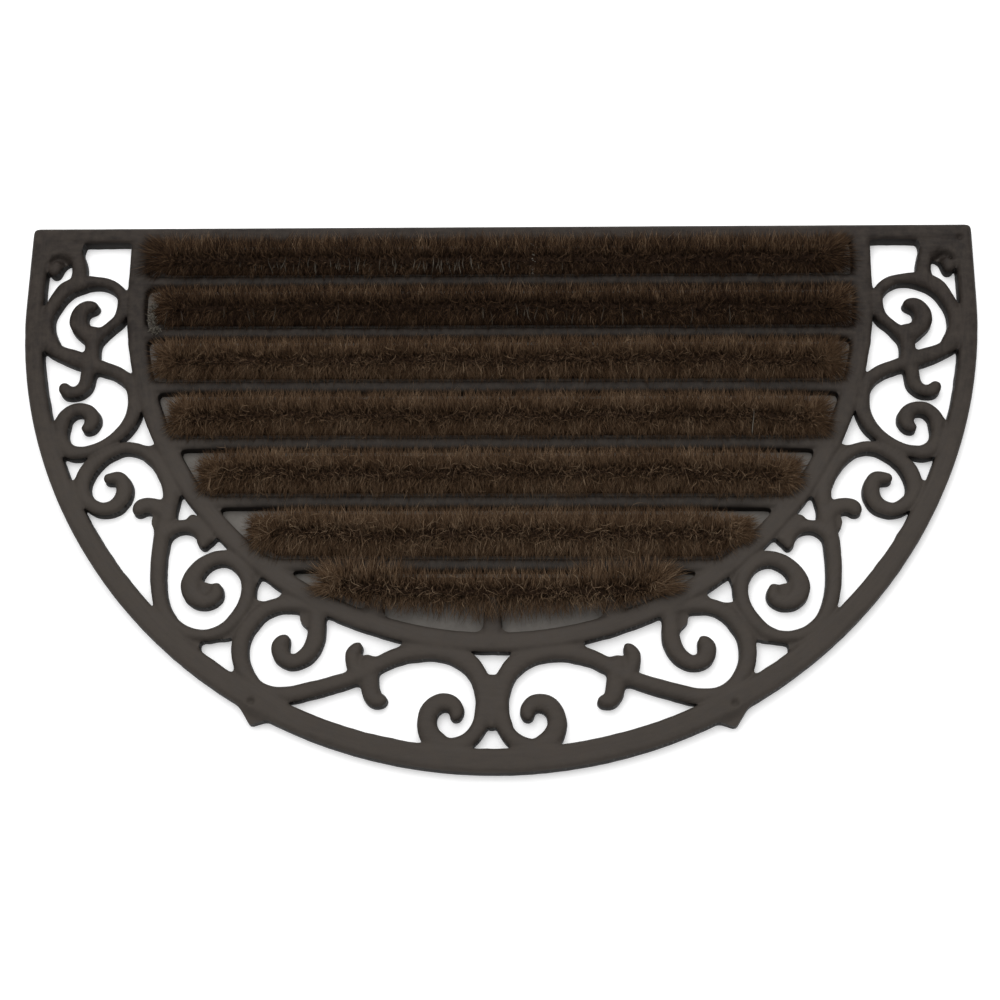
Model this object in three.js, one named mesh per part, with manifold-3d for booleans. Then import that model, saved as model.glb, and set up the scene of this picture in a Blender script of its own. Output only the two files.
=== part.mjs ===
import * as THREE from 'three';
import { mergeVertices } from 'three/addons/utils/BufferGeometryUtils.js';
import Module from 'manifold-3d';

// Half-round coir doormat: a moulded rubber frame with open scroll work and seven rows of coir brush.
// Plan axes: X to the right, Y towards the straight back edge, Z up, millimetres, underside at Z = 0.

// Driving sizes of the plan
const MAT_WIDTH = 750;
const MAT_DEPTH = 440;
const FRONT_EDGE_Y = -MAT_DEPTH / 2;
const BACK_EDGE_Y = MAT_DEPTH / 2;
const OUTER_RADIUS = MAT_WIDTH / 2;
const OUTER_CENTRE_Y = FRONT_EDGE_Y + OUTER_RADIUS;
const CORNER_RADIUS = 4;
const RIM_WIDTH_SIDE = 13;
const RIM_WIDTH_FRONT = 18;
const RAIL_WIDTH = 13;
const INNER_RIM_WIDTH = 14.5;
const INNER_RIM_RADIUS = 287.25;
const INNER_RIM_CENTRE_Y = 165;
const BAR_WIDTH = 9;
const BAR_LINES_Y = [172, 127.5, 82, 35, -12.5, -62.5];

// Driving sizes of the height
const FRAME_TOP = 13;
const RIM_SHOULDER = 10;
const RIM_BEVEL = 3.5;
const RIM_INNER_CHAMFER = { across: 1.2, down: 1.5 };
const BAR_SHOULDER = 10.5;
const SCROLL_TOP = 12;
const SCROLL_SHOULDER = 8;
const TRAY_FLOOR = 3;
const BRUSH_TOP = 20;
const PIECE_GAP = 0.4;

// Facet sizes
const SCROLL_STEP = 7;
const RIM_ARC_STEPS = 44;
const INNER_RIM_ARC_STEPS = 36;
const CORNER_STEPS = 4;
const DISC_SIDES = 8;

// Shape of the strips: draft of the walls and flat of the crown as shares of the half width, taper of a free
// tip, and how far the inner side of a tight turn may reach towards the turn's centre
const STRIP_WALL_SHARE = 0.94;
const STRIP_CROWN_SHARE = 0.42;
const TIP_TAPER = 0.55;
const TURN_REACH = 0.8;

// How far a piece runs into its neighbour, or a cutter past the piece it cuts
const OVERRUN = 2;

const RUBBER = new THREE.MeshStandardMaterial({ color: 0x37312e, roughness: 0.85, metalness: 0 });
const COIR = new THREE.MeshStandardMaterial({ color: 0x3a281a, roughness: 1, metalness: 0 });

const wasm = await Module();
wasm.setup();

// Sections

/** Section of a half-round strip, as [share of the half width, height] pairs from left foot to right foot. */
function domedSection(shoulder, top) {
  const half = [[1, 0], [STRIP_WALL_SHARE, shoulder], [STRIP_CROWN_SHARE, top]];
  return [...half.map(([share, height]) => [-share, height]), ...half.reverse()];
}

const SCROLL_SECTION = domedSection(SCROLL_SHOULDER, SCROLL_TOP);
const BAR_SECTION = domedSection(BAR_SHOULDER, FRAME_TOP);

// Outline of the half-round plan

/** Points of an arch: up the right side, round the front through the left side, and back up. */
function archPoints(radius, centreY, topY, steps) {
  const points = [new THREE.Vector2(radius, topY)];
  for (let i = 0; i <= steps; i += 1) {
    const angle = -Math.PI * (i / steps);
    points.push(new THREE.Vector2(radius * Math.cos(angle), centreY + radius * Math.sin(angle)));
  }
  points.push(new THREE.Vector2(-radius, topY));
  return points;
}

// Closed solids from stations

/** Index list of a closed skin over rings of equal length, capped at both ends. */
function skinIndices(ringCount, ringSize) {
  const indices = [];
  for (let i = 0; i + 1 < ringCount; i += 1) {
    for (let j = 0; j < ringSize; j += 1) {
      const k = (j + 1) % ringSize;
      const [a, b] = [i * ringSize + j, i * ringSize + k];
      indices.push(a, a + ringSize, b, b, a + ringSize, b + ringSize);
    }
  }
  const last = (ringCount - 1) * ringSize;
  for (let j = 1; j + 1 < ringSize; j += 1) {
    indices.push(0, j, j + 1, last, last + j + 1, last + j);
  }
  return indices;
}

/** Solid through a list of rings of [x, y, z] points. */
function solidFromRings(rings) {
  const geometry = new THREE.BufferGeometry();
  geometry.setAttribute('position', new THREE.Float32BufferAttribute(rings.flat(2), 3));
  geometry.setIndex(skinIndices(rings.length, rings[0].length));
  return solidFromGeometry(geometry);
}

function solidFromGeometry(geometry) {
  geometry.deleteAttribute('normal');
  geometry.deleteAttribute('uv');
  const merged = mergeVertices(geometry);
  const mesh = new wasm.Mesh({
    numProp: 3,
    vertProperties: new Float32Array(merged.attributes.position.array),
    triVerts: new Uint32Array(merged.index.array),
  });
  const solid = new wasm.Manifold(mesh);
  return solid.volume() < 0 ? new wasm.Manifold(turnedInsideOut(mesh)) : solid;
}

function turnedInsideOut(mesh) {
  const triVerts = new Uint32Array(mesh.triVerts);
  for (let i = 0; i < triVerts.length; i += 3) {
    [triVerts[i + 1], triVerts[i + 2]] = [triVerts[i + 2], triVerts[i + 1]];
  }
  return new wasm.Mesh({ numProp: 3, vertProperties: mesh.vertProperties, triVerts });
}

/** Straight-sided solid over a plan outline, from one height to another. */
function plate(outline, bottom, top) {
  const depth = top - bottom;
  const geometry = new THREE.ExtrudeGeometry(new THREE.Shape(outline), { depth, bevelEnabled: false });
  geometry.translate(0, 0, bottom);
  return solidFromGeometry(geometry);
}

/**
 * Strip of a given section along stations of { x, y, width }.
 * The inner side of a tight turn is held short of the turn's centre, so that the strip never folds over.
 */
function strip(stations, section) {
  const count = stations.length;
  const rings = stations.map((here, i) => {
    const before = stations[Math.max(i - 1, 0)];
    const after = stations[Math.min(i + 1, count - 1)];
    const along = new THREE.Vector2(after.x - before.x, after.y - before.y);
    const span = along.length();
    along.normalize();
    const inbound = Math.atan2(here.y - before.y, here.x - before.x);
    const outbound = Math.atan2(after.y - here.y, after.x - here.x);
    const bend = i > 0 && i < count - 1 ? Math.sin(outbound - inbound) : 0;
    const turnRadius = span / (2 * Math.max(Math.abs(bend), 1e-6));
    return section.map(([share, height]) => {
      const isInner = share * bend < 0;
      const reach = isInner ? Math.min(here.width / 2, TURN_REACH * turnRadius) : here.width / 2;
      const offset = share * reach;
      return [here.x + along.y * offset, here.y - along.x * offset, height];
    });
  });
  return solidFromRings(rings);
}

/** Even stations along a smooth curve through knots, with rounded tips where asked. */
function smoothStations(knots, startTip, endTip) {
  const points = knots.map(([x, y, width]) => new THREE.Vector3(x, y, width));
  const curve = new THREE.CatmullRomCurve3(points, false, 'centripetal');
  const count = Math.max(3, Math.round(curve.getLength() / SCROLL_STEP));
  const stations = curve.getPoints(count).map((p) => ({ x: p.x, y: p.y, width: p.z }));
  if (startTip) {
    stations[0].width *= TIP_TAPER;
  }
  if (endTip) {
    stations[count].width *= TIP_TAPER;
  }
  return stations;
}

function mirrored(knots) {
  return knots.map(([x, y, width]) => [-x, y, width]);
}

function joined(solids) {
  return solids.reduce((whole, piece) => whole.add(piece));
}

// Scroll work of the right half, each row a strip through knots of [x, y, width].
// tip names the free ends of a strip: 'end', 'both', or 'none' where both ends run into other strips.
const SCROLLS = [
  { name: 'corner curl', tip: 'end',
    knots: [[336.5, 174, 13], [336.5, 187, 11.5], [340.5, 198, 12], [349, 203, 13], [356.5, 197, 14.5],
      [355.5, 182.5, 13]] },
  { name: 'scroll 1 ring', tip: 'none',
    knots: [[319, 124, 12], [309, 133, 8.5], [300.5, 141.5, 9], [297.5, 152, 10], [299.5, 162, 9],
      [308, 170.5, 8.5], [321, 174, 8.5], [334, 172.7, 11.5], [345, 167.5, 13], [353, 156, 11],
      [358, 143, 11], [357, 130, 11], [351, 118, 11]] },
  { name: 'scroll 1 neck', tip: 'none', knots: [[320, 128, 14], [319.8, 116, 11.2], [320.5, 104, 14]] },
  { name: 'scroll 1 heart', tip: 'end',
    knots: [[321, 125, 12], [328, 131, 13], [332.8, 138.5, 14], [332.5, 145.5, 13], [328, 151, 11.5],
      [320, 152, 8]] },
  { name: 'scroll 2 band and ring', tip: 'none',
    knots: [[362, 125, 11], [352, 116.3, 11], [342.5, 111.3, 11.5], [332, 107.5, 12.8], [320, 103, 11.5],
      [309, 99.5, 10], [297, 94.7, 10], [287.5, 86.5, 10.5], [282.8, 75.5, 11.3], [282.6, 63, 11.3],
      [287, 51, 10.5], [295.5, 40.8, 9.5], [306, 33.5, 8.7], [318, 29, 9.5], [330, 29.3, 11.5],
      [338, 37.5, 12], [339.5, 52, 11]] },
  { name: 'scroll 2 hook', tip: 'end',
    knots: [[321.5, 102, 11], [321.8, 93, 11], [323.5, 84, 10.5], [329.5, 79.2, 9.5], [336.5, 79.5, 10],
      [340.3, 83.8, 9]] },
  { name: 'scroll 2 heart', tip: 'end',
    knots: [[339, 50, 11], [337, 58, 10.5], [329.5, 64.2, 10], [320, 63.5, 10.5], [315, 57, 12.5],
      [316.5, 50, 9.5], [320.5, 48, 7]] },
  { name: 'scroll 3 stem and ring', tip: 'none',
    knots: [[249, -12, 11], [250, 0, 12], [256, 13, 11.5], [265, 24, 10], [276, 31, 9], [288, 32.5, 9],
      [300, 28, 9.5], [309.5, 21, 11.5], [316, 12, 12.5], [318.5, 0, 12], [315, -9.5, 11], [303, -17.5, 10.5],
      [291.5, -15, 11.5], [286, -7, 12.3], [286, 1, 12], [290, 7.2, 10.5], [298, 7.2, 8]] },
  { name: 'scroll 3 leaf', tip: 'end',
    knots: [[250, -25, 12], [256, -17.5, 12], [264, -14.5, 11.5], [271, -15.5, 11.5], [274, -19.5, 9]] },
  { name: 'long stem and scroll 4 ring', tip: 'none',
    knots: [[247.5, -4, 11], [250.5, -22, 12], [254, -42, 12], [255, -60, 11.5], [254, -77, 11],
      [250, -94, 11], [242, -107, 10.5], [230, -115, 9.5], [216, -117.3, 9], [203, -113.5, 10],
      [193, -104, 11], [186.5, -92, 11], [185, -78, 11], [189, -67, 11], [197, -59, 11], [207.5, -56.3, 11],
      [218, -60, 11.5], [225.5, -67.5, 13], [229, -77, 15], [226.5, -86, 13.5], [217, -90.5, 11.5],
      [209.5, -86, 10.5], [209.3, -80, 7.5]] },
  { name: 'scroll 4 foot', tip: 'none', knots: [[231, -26, 8], [223, -33, 9], [217, -41, 8]] },
  { name: 'scroll 4 hook', tip: 'end',
    knots: [[252, -38, 10], [245.5, -33, 9.5], [236, -30.8, 9], [227.5, -33, 10], [222, -39, 10.5],
      [221.3, -47, 8.5]] },
  { name: 'scroll 5 ring', tip: 'none',
    knots: [[129, -99.5, 9], [139, -94.5, 10], [150, -93, 11], [162, -93.5, 11], [173, -98, 11.5],
      [182, -107.5, 12], [188, -119, 12.3], [188.8, -132, 12.3], [184.5, -145, 12], [176, -155.5, 11],
      [165, -161, 11], [151, -162, 12], [137, -159, 12], [120, -154.3, 11.5], [105, -149.5, 11],
      [94, -145, 11]] },
  { name: 'scroll 5 heart', tip: 'end',
    knots: [[133, -98, 11], [132, -109, 12.5], [133, -121, 13.3], [138, -131, 12], [147.5, -136.7, 11],
      [156, -134, 12], [159, -126, 13], [155, -118.8, 8]] },
  { name: 'scroll 6 ring', tip: 'none',
    knots: [[98, -147, 12], [86, -139.5, 11.5], [73, -133, 12], [58, -129.5, 12], [44, -129.3, 11.5],
      [30.5, -131.4, 12.5], [19, -136.8, 14.5], [11, -146, 13.5], [7, -157.5, 13], [6, -168, 12],
      [7.5, -180, 12], [12.5, -190.5, 11], [21, -198, 12], [34, -202, 14]] },
  { name: 'scroll 6 upper leaf', tip: 'end',
    knots: [[99, -148, 12], [103.3, -139, 11], [104, -131, 11], [99.5, -124.5, 7.5]] },
  { name: 'scroll 6 lower leaf', tip: 'end',
    knots: [[93, -139, 12], [91, -149, 12.5], [90.3, -158, 13.5], [86.5, -165.3, 11.5], [79.5, -166, 8]] },
  { name: 'centre web', tip: 'both', isCentre: true,
    knots: [[0, -149.5, 10], [0, -158, 13], [0, -174, 13], [0, -184, 10]] },
  { name: 'scroll 6 heart', tip: 'end',
    knots: [[38, -200, 17], [45, -192, 15], [48, -182.5, 14], [45.8, -173.5, 13.3], [38.5, -167.5, 13],
      [30.5, -168, 12.2], [26, -173.5, 10.5], [27, -179, 7.5]] },
];

// Low webs that close the shallow relief between strips, each a disc of { x, y, radius, top }
const WEBS = [
  { x: 350, y: 196, radius: 7, top: 8 },
  { x: 342, y: 206, radius: 8.5, top: 9 },
  { x: 190, y: -108, radius: 7, top: 9 },
  { x: 218, y: -82, radius: 6, top: 9 },
];

// Fillets that blunt the corners of the open work, each a disc of { x, y, radius }
const FILLET_TOP = 10.5;
const FILLETS = [
  { x: 139.5, y: -104, radius: 7 },
  { x: 93, y: -138, radius: 5 },
  { x: 182, y: -70, radius: 5 },
  { x: 154, y: -87, radius: 5 },
  { x: 178.5, y: -96, radius: 5 },
  { x: 200, y: -115, radius: 4 },
  { x: 224, y: -127, radius: 4.5 },
  { x: 190, y: -151, radius: 4.5 },
  { x: 258, y: -28, radius: 4.5 },
  { x: 242.5, y: 0, radius: 4.5 },
  { x: 62, y: -125.5, radius: 4.5 },
  { x: 326, y: -1, radius: 4 },
  { x: 263, y: 28, radius: 6 },
];

// Ribs that reach from the inner rim into the lowest tray, as strips through [x, y, width]
const RIBS = [
  [[0, -94.6, 8], [0, -103, 9.5], [0, -111, 15], [0, -118, 24]],
  [[86, -94.6, 9], [87, -101, 12], [88.5, -106, 19], [90, -111, 26]],
];

// Small three-cornered tabs that stand out from the outer rim at the front
const TAB = { from: 26, to: 30.6, tip: 27.7, reach: 9, top: 7 };

function rimStations() {
  const points = archPoints(OUTER_RADIUS, OUTER_CENTRE_Y, BACK_EDGE_Y, RIM_ARC_STEPS);
  const extra = RIM_WIDTH_FRONT - RIM_WIDTH_SIDE;
  return points.map(({ x, y }) => {
    const below = Math.max(0, (OUTER_CENTRE_Y - y) / OUTER_RADIUS);
    return { x, y, width: RIM_WIDTH_SIDE + extra * below };
  });
}

/** Outer rim: its outer edge is the mat's outline, with a long bevel outside and a short one inside. */
function outerRim() {
  const { across, down } = RIM_INNER_CHAMFER;
  const rings = rimStations().map(({ x, y, width }) => {
    const centreY = Math.max(y, OUTER_CENTRE_Y);
    const out = new THREE.Vector2(x, y - centreY).normalize();
    const section = [[0, 0], [0, RIM_SHOULDER], [RIM_BEVEL, FRAME_TOP], [width - across, FRAME_TOP],
      [width, FRAME_TOP - down], [width, 0]];
    return section.map(([inset, z]) => [x - out.x * inset, y - out.y * inset, z]);
  });
  return solidFromRings(rings);
}

/** Straight back rail, which ends inside the flat top of the outer rim. */
function backRail() {
  const half = OUTER_RADIUS - RIM_BEVEL - OVERRUN;
  const inner = BACK_EDGE_Y - RAIL_WIDTH;
  const corners = [[-half, inner], [half, inner], [half, BACK_EDGE_Y], [-half, BACK_EDGE_Y]];
  return plate(corners.map(([x, y]) => new THREE.Vector2(x, y)), 0, FRAME_TOP);
}

/** Block that cuts the bevel along the back edge, over the rail and both ends of the outer rim. */
function backEdgeCutter() {
  const half = OUTER_RADIUS + OVERRUN;
  const slope = (FRAME_TOP - RIM_SHOULDER) / RIM_BEVEL;
  const outside = BACK_EDGE_Y + OVERRUN;
  const above = FRAME_TOP + OVERRUN * slope;
  const ring = (x) => [[x, outside, RIM_SHOULDER - OVERRUN * slope], [x, outside, above],
    [x, BACK_EDGE_Y - RIM_BEVEL - OVERRUN, above]];
  return solidFromRings([ring(-half), ring(half)]);
}

/** Block that rounds one square back corner in plan. */
function cornerCutter(side) {
  const inner = new THREE.Vector2(OUTER_RADIUS - CORNER_RADIUS, BACK_EDGE_Y - CORNER_RADIUS);
  const outer = new THREE.Vector2(OUTER_RADIUS + OVERRUN, BACK_EDGE_Y + OVERRUN);
  const outline = [new THREE.Vector2(outer.x, inner.y)];
  for (let i = 0; i <= CORNER_STEPS; i += 1) {
    const angle = (Math.PI / 2) * (i / CORNER_STEPS);
    const arm = new THREE.Vector2(Math.cos(angle), Math.sin(angle)).multiplyScalar(CORNER_RADIUS);
    outline.push(arm.add(inner));
  }
  outline.push(new THREE.Vector2(inner.x, outer.y), outer);
  return plate(outline.map(({ x, y }) => new THREE.Vector2(side * x, y)), -OVERRUN, FRAME_TOP + OVERRUN);
}

function innerRim() {
  const top = BACK_EDGE_Y - RAIL_WIDTH + OVERRUN;
  const points = archPoints(INNER_RIM_RADIUS, INNER_RIM_CENTRE_Y, top, INNER_RIM_ARC_STEPS);
  return strip(points.map(({ x, y }) => ({ x, y, width: INNER_RIM_WIDTH })), BAR_SECTION);
}

function halfSpanAt(y, radius) {
  const drop = Math.max(0, INNER_RIM_CENTRE_Y - y);
  return Math.sqrt(radius * radius - drop * drop);
}

function crossBars() {
  return BAR_LINES_Y.map((y) => {
    const half = halfSpanAt(y, INNER_RIM_RADIUS);
    return strip([{ x: -half, y, width: BAR_WIDTH }, { x: half, y, width: BAR_WIDTH }], BAR_SECTION);
  });
}

function trayFloor() {
  const top = BACK_EDGE_Y - RAIL_WIDTH + OVERRUN;
  const outline = archPoints(INNER_RIM_RADIUS, INNER_RIM_CENTRE_Y, top, INNER_RIM_ARC_STEPS);
  return plate(outline, 0, TRAY_FLOOR);
}

function scrollWork() {
  const strips = SCROLLS.flatMap(({ knots, tip, isCentre }) => {
    const sides = isCentre ? [knots] : [knots, mirrored(knots)];
    return sides.map((side) => strip(smoothStations(side, tip === 'both', tip !== 'none'), SCROLL_SECTION));
  });
  const fills = [...WEBS, ...FILLETS.map((fillet) => ({ ...fillet, top: FILLET_TOP }))];
  const discs = fills.flatMap(({ x, y, radius, top }) => [x, -x].map((cx) => disc(cx, y, radius, top)));
  return [...strips, ...discs];
}

function disc(x, y, radius, top) {
  const outline = Array.from({ length: DISC_SIDES }, (_, i) => {
    const angle = (2 * Math.PI * i) / DISC_SIDES;
    return new THREE.Vector2(x + radius * Math.cos(angle), y + radius * Math.sin(angle));
  });
  return plate(outline, 0, top);
}

function ribs() {
  const [centre, side] = RIBS;
  return [centre, side, mirrored(side)].map(
    (knots) => strip(smoothStations(knots, true, false), BAR_SECTION),
  );
}

function rimTab(side) {
  const corner = (degrees, reach) => {
    const angle = THREE.MathUtils.degToRad(degrees);
    const radius = OUTER_RADIUS + reach;
    return new THREE.Vector2(side * radius * Math.sin(angle), OUTER_CENTRE_Y - radius * Math.cos(angle));
  };
  const foot = -OVERRUN;
  return plate([corner(TAB.from, foot), corner(TAB.to, foot), corner(TAB.tip, TAB.reach)], 0, TAB.top);
}

function frameSolid() {
  const whole = joined([
    outerRim(), backRail(), innerRim(), trayFloor(), ...crossBars(), ...ribs(), ...scrollWork(),
    rimTab(1), rimTab(-1),
  ]);
  const cutters = [backEdgeCutter(), cornerCutter(1), cornerCutter(-1)];
  return cutters.reduce((rest, cutter) => rest.subtract(cutter), whole);
}

// Coir brush rows

// Rows from the back. cut is the corner left bare at each upper end, as [along X, along Y], and lean is how
// far the coir hangs over the bars. tuft is a pair of tall bunches at +x and -x.
const BRUSH_ROWS = [
  { cut: [8, 3], lean: 2.2 },
  { cut: [6, 3], lean: 1.6 },
  { cut: [14, 4], lean: 1.6 },
  { cut: [26, 7], lean: 1.6 },
  { cut: [34, 10], lean: 1.6 },
  { cut: [38, 12], lean: 1.4 },
  { cut: [16, 6], lean: 1.6, lowerY: -94, tuft: { x: 94, halfWidth: 34, reach: 6, rise: 2.5 } },
];
const LOCK_PITCH = 12.5;
const LOCK_DEPTH = 0.9;
const BRIM_HEIGHT = 1.6;
const PARTING_DEPTH = 1.2;
const CREST_SHARE = 0.22;
const END_TAPER = { start: 0.35, length: 14 };
const SURFACE_WAVE = 0.7;
const PARTING_WAVE = 1.5;
const TRAY_END_RADIUS = INNER_RIM_RADIUS - INNER_RIM_WIDTH / 2;
const ROW_END_GAP = 2.5;
const ROW_END_DEPTH = 4;

function trayEdges(index) {
  const upperLine = index === 0 ? BACK_EDGE_Y - RAIL_WIDTH : BAR_LINES_Y[index - 1] - BAR_WIDTH / 2;
  const { lowerY } = BRUSH_ROWS[index];
  const lowerLine = index < BAR_LINES_Y.length ? BAR_LINES_Y[index] + BAR_WIDTH / 2 : lowerY;
  return { lowerLine, upperLine };
}

/** Y of the tray's curved end at a given x, or infinity past the tray's widest point. */
function trayEndY(x) {
  const radius = TRAY_END_RADIUS - ROW_END_GAP;
  return Math.abs(x) < radius ? INNER_RIM_CENTRE_Y - Math.sqrt(radius * radius - x * x) : Infinity;
}

/** Slow unevenness of a row, between minus one and one. */
function unevenness(x, row) {
  return 0.6 * Math.sin(x * 0.043 + row * 1.9) + 0.4 * Math.sin(x * 0.117 + row * 4.1);
}

function brushRow(index) {
  const { cut: [cutX, cutY], lean, tuft } = BRUSH_ROWS[index];
  const { lowerLine, upperLine } = trayEdges(index);
  const endY = upperLine - cutY;
  const radius = TRAY_END_RADIUS - ROW_END_GAP;
  const drop = Math.max(0, INNER_RIM_CENTRE_Y - (endY - ROW_END_DEPTH));
  const halfLength = Math.sqrt(radius * radius - drop * drop);
  const steps = Math.round((2 * halfLength) / LOCK_PITCH);
  const foot = TRAY_FLOOR + PIECE_GAP;
  const brim = FRAME_TOP + PIECE_GAP;
  const rings = [];
  for (let i = 0; i <= steps; i += 1) {
    const x = -halfLength + (2 * halfLength * i) / steps;
    const fromEnd = halfLength - Math.abs(x);
    const cutShare = Math.max(0, 1 - fromEnd / cutX);
    const taper = Math.min(1, END_TAPER.start + fromEnd / END_TAPER.length);
    const bunch = tuft ? Math.max(0, 1 - ((Math.abs(x) - tuft.x) / tuft.halfWidth) ** 2) : 0;

    const upper = upperLine - PIECE_GAP - cutY * cutShare;
    const lower = Math.max(lowerLine + PIECE_GAP, Math.min(trayEndY(x), endY - ROW_END_DEPTH));
    const depth = upper - lower;
    const hang = i % 2 === 0 ? lean : lean - LOCK_DEPTH;
    const overUpper = (cutShare > 0 ? 0 : hang) + (tuft ? tuft.reach * bunch : 0);
    const overLower = lower > lowerLine + PIECE_GAP ? 0 : hang;
    const crest = FRAME_TOP + (BRUSH_TOP - FRAME_TOP) * taper + SURFACE_WAVE * unevenness(x, index)
      + (tuft ? tuft.rise * bunch : 0);
    const parting = (upper + lower) / 2 + PARTING_WAVE * unevenness(x, index + 0.5);
    rings.push([
      [x, lower, foot], [x, lower, brim], [x, lower - overLower, brim + BRIM_HEIGHT],
      [x, lower + depth * CREST_SHARE, crest], [x, parting, crest - PARTING_DEPTH * taper],
      [x, upper - depth * CREST_SHARE, crest],
      [x, upper + overUpper, brim + BRIM_HEIGHT], [x, upper, brim], [x, upper, foot],
    ]);
  }
  return solidFromRings(rings);
}

// Scene graph

function meshFrom(name, solid, material) {
  const { vertProperties, triVerts } = solid.getMesh();
  const geometry = new THREE.BufferGeometry();
  geometry.setAttribute('position', new THREE.BufferAttribute(new Float32Array(vertProperties), 3));
  geometry.setIndex(new THREE.BufferAttribute(new Uint32Array(triVerts), 1));
  geometry.computeVertexNormals();
  const mesh = new THREE.Mesh(geometry, material);
  mesh.name = name;
  return mesh;
}

const doormat = new THREE.Group();
doormat.name = 'doormat';
doormat.add(meshFrom('frame', frameSolid(), RUBBER));
BRUSH_ROWS.forEach((_, index) => {
  doormat.add(meshFrom(`brush_row_${index + 1}`, brushRow(index), COIR));
});

export default doormat;
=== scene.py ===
"""Half-round coir doormat: a moulded rubber frame with open scroll work and seven rows of coir brush.

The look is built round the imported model: one finely shaped frame, and one brush for each row. Lengths are in
millimetres until a mesh is made. The axes are the part's own: X along the straight back edge, Y towards that
edge and Z up, with the underside at Z = 0.
"""

import logging
import math
from dataclasses import dataclass, replace
from enum import Enum
from typing import Dict, List, Optional, Sequence, Tuple, Union

import bpy
import numpy as np
from mathutils import Matrix, Vector
from mathutils.geometry import delaunay_2d_cdt

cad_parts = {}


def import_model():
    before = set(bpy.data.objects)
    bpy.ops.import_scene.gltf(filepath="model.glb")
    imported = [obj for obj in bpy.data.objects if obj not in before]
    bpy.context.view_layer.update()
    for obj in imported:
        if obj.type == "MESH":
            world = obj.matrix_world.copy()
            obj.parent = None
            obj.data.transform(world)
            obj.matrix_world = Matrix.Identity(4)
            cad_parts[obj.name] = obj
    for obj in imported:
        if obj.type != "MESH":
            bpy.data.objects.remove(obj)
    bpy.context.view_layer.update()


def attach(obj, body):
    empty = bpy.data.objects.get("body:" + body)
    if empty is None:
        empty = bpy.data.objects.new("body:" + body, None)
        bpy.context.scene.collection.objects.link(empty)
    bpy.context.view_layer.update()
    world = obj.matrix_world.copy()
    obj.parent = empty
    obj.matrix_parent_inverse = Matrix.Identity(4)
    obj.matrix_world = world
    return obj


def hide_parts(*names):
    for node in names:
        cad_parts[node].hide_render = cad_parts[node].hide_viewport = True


LOG = logging.getLogger("doormat")
FIBRE_MAP = "OFBake"
MM = 0.001
BODY = "root"

Map = np.ndarray
Knot = Tuple[float, float, float]
Colour = Tuple[float, float, float]
Span = Tuple[float, float]
Window = Tuple[slice, slice]
Piece = bpy.types.Object
Tree = bpy.types.NodeTree
Node = bpy.types.Node
Socket = bpy.types.NodeSocket
Value = Union[float, Colour, Socket]
Inputs = Dict[Union[str, int], Value]
MeshData = Tuple[Map, Map, Map]


# Arithmetic on maps


def smooth_max(first: Map, second: Map, blend: Union[float, Map]) -> Map:
    """Greater of two maps, with the crease where they cross filled to a soft valley.

    Args:
        first: One map.
        second: The other map.
        blend: Difference under which the two are blended.

    Returns:
        The maximum, raised by a quarter of blend where both are equal.
    """
    near = np.clip(1.0 - np.abs(first - second) / blend, 0.0, 1.0)
    return np.maximum(first, second) + 0.25 * blend * near**2


def round_distance(x: Map, y: Map, centre_y: float) -> Map:
    """Distance from the centre of a round front, or from X = 0 behind that centre."""
    return np.hypot(x, np.minimum(y - centre_y, 0.0))


def between_points(grid: Map, u: Map, v: Map, is_smooth: bool) -> Map:
    """Values between the points of a grid that repeats, mixed by the shares past the last column and row.

    Args:
        grid: Values on the grid.
        u: Places across the columns, in columns.
        v: Places across the rows, in rows.
        is_smooth: Whether a share t is eased to 3 t^2 - 2 t^3.

    Returns:
        The value at each place.
    """
    row_count, column_count = grid.shape
    column, row = np.floor(u).astype(int), np.floor(v).astype(int)
    s, t = u - column, v - row
    if is_smooth:
        s, t = s * s * (3 - 2 * s), t * t * (3 - 2 * t)
    column, row = column % column_count, row % row_count
    next_column, next_row = (column + 1) % column_count, (row + 1) % row_count
    near = grid[row, column] * (1 - s) + grid[row, next_column] * s
    far = grid[next_row, column] * (1 - s) + grid[next_row, next_column] * s
    return near * (1 - t) + far * t


def smooth_path(knots: Sequence[Knot], samples: int) -> Map:
    """Points of a centripetal Catmull-Rom curve through knots of (x, y, width).

    Each span is a cubic between two knots. Its end tangents come from the neighbouring knots, each gap
    counted as the square root of its length, and the end knots are mirrored to give the outer neighbours.

    Args:
        knots: The points that the curve passes through.
        samples: Number of points for each span.

    Returns:
        An array of rows (x, y, width).
    """
    points = np.array(knots, float)
    points = np.vstack([2 * points[0] - points[1], points, 2 * points[-1] - points[-2]])
    gaps = np.sqrt(np.linalg.norm(np.diff(points, axis=0), axis=1))[:, None]
    before, here, after = gaps[:-2], gaps[1:-1], gaps[2:]
    p0, p1, p2, p3 = points[:-3], points[1:-2], points[2:-1], points[3:]
    leave = ((p1 - p0) / before - (p2 - p0) / (before + here) + (p2 - p1) / here) * here
    arrive = ((p2 - p1) / here - (p3 - p1) / (here + after) + (p3 - p2) / after) * here
    t = (np.arange(samples) / samples)[None, :, None]
    spans = (
        (2 * t**3 - 3 * t**2 + 1) * p1[:, None]
        + (t**3 - 2 * t**2 + t) * leave[:, None]
        + (3 * t**2 - 2 * t**3) * p2[:, None]
        + (t**3 - t**2) * arrive[:, None]
    )
    return np.vstack([spans.reshape(-1, 3), points[-2]])


@dataclass(frozen=True)
class PlaneNoise:
    """Smooth noise on a plane: random values on a square lattice that repeats, joined by smooth steps.

    The noise lies between minus and plus the amount, and its features are about a cell wide.
    """

    cell: float
    seed: int
    amount: float = 1.0
    size: int = 64

    def at(self, x: Map, y: Map) -> Map:
        """Noise at the points (x, y)."""
        lattice = np.random.default_rng(self.seed).uniform(-1.0, 1.0, (self.size, self.size))
        return self.amount * between_points(lattice, x / self.cell, y / self.cell, is_smooth=True)


# Sizes of the mat


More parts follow.
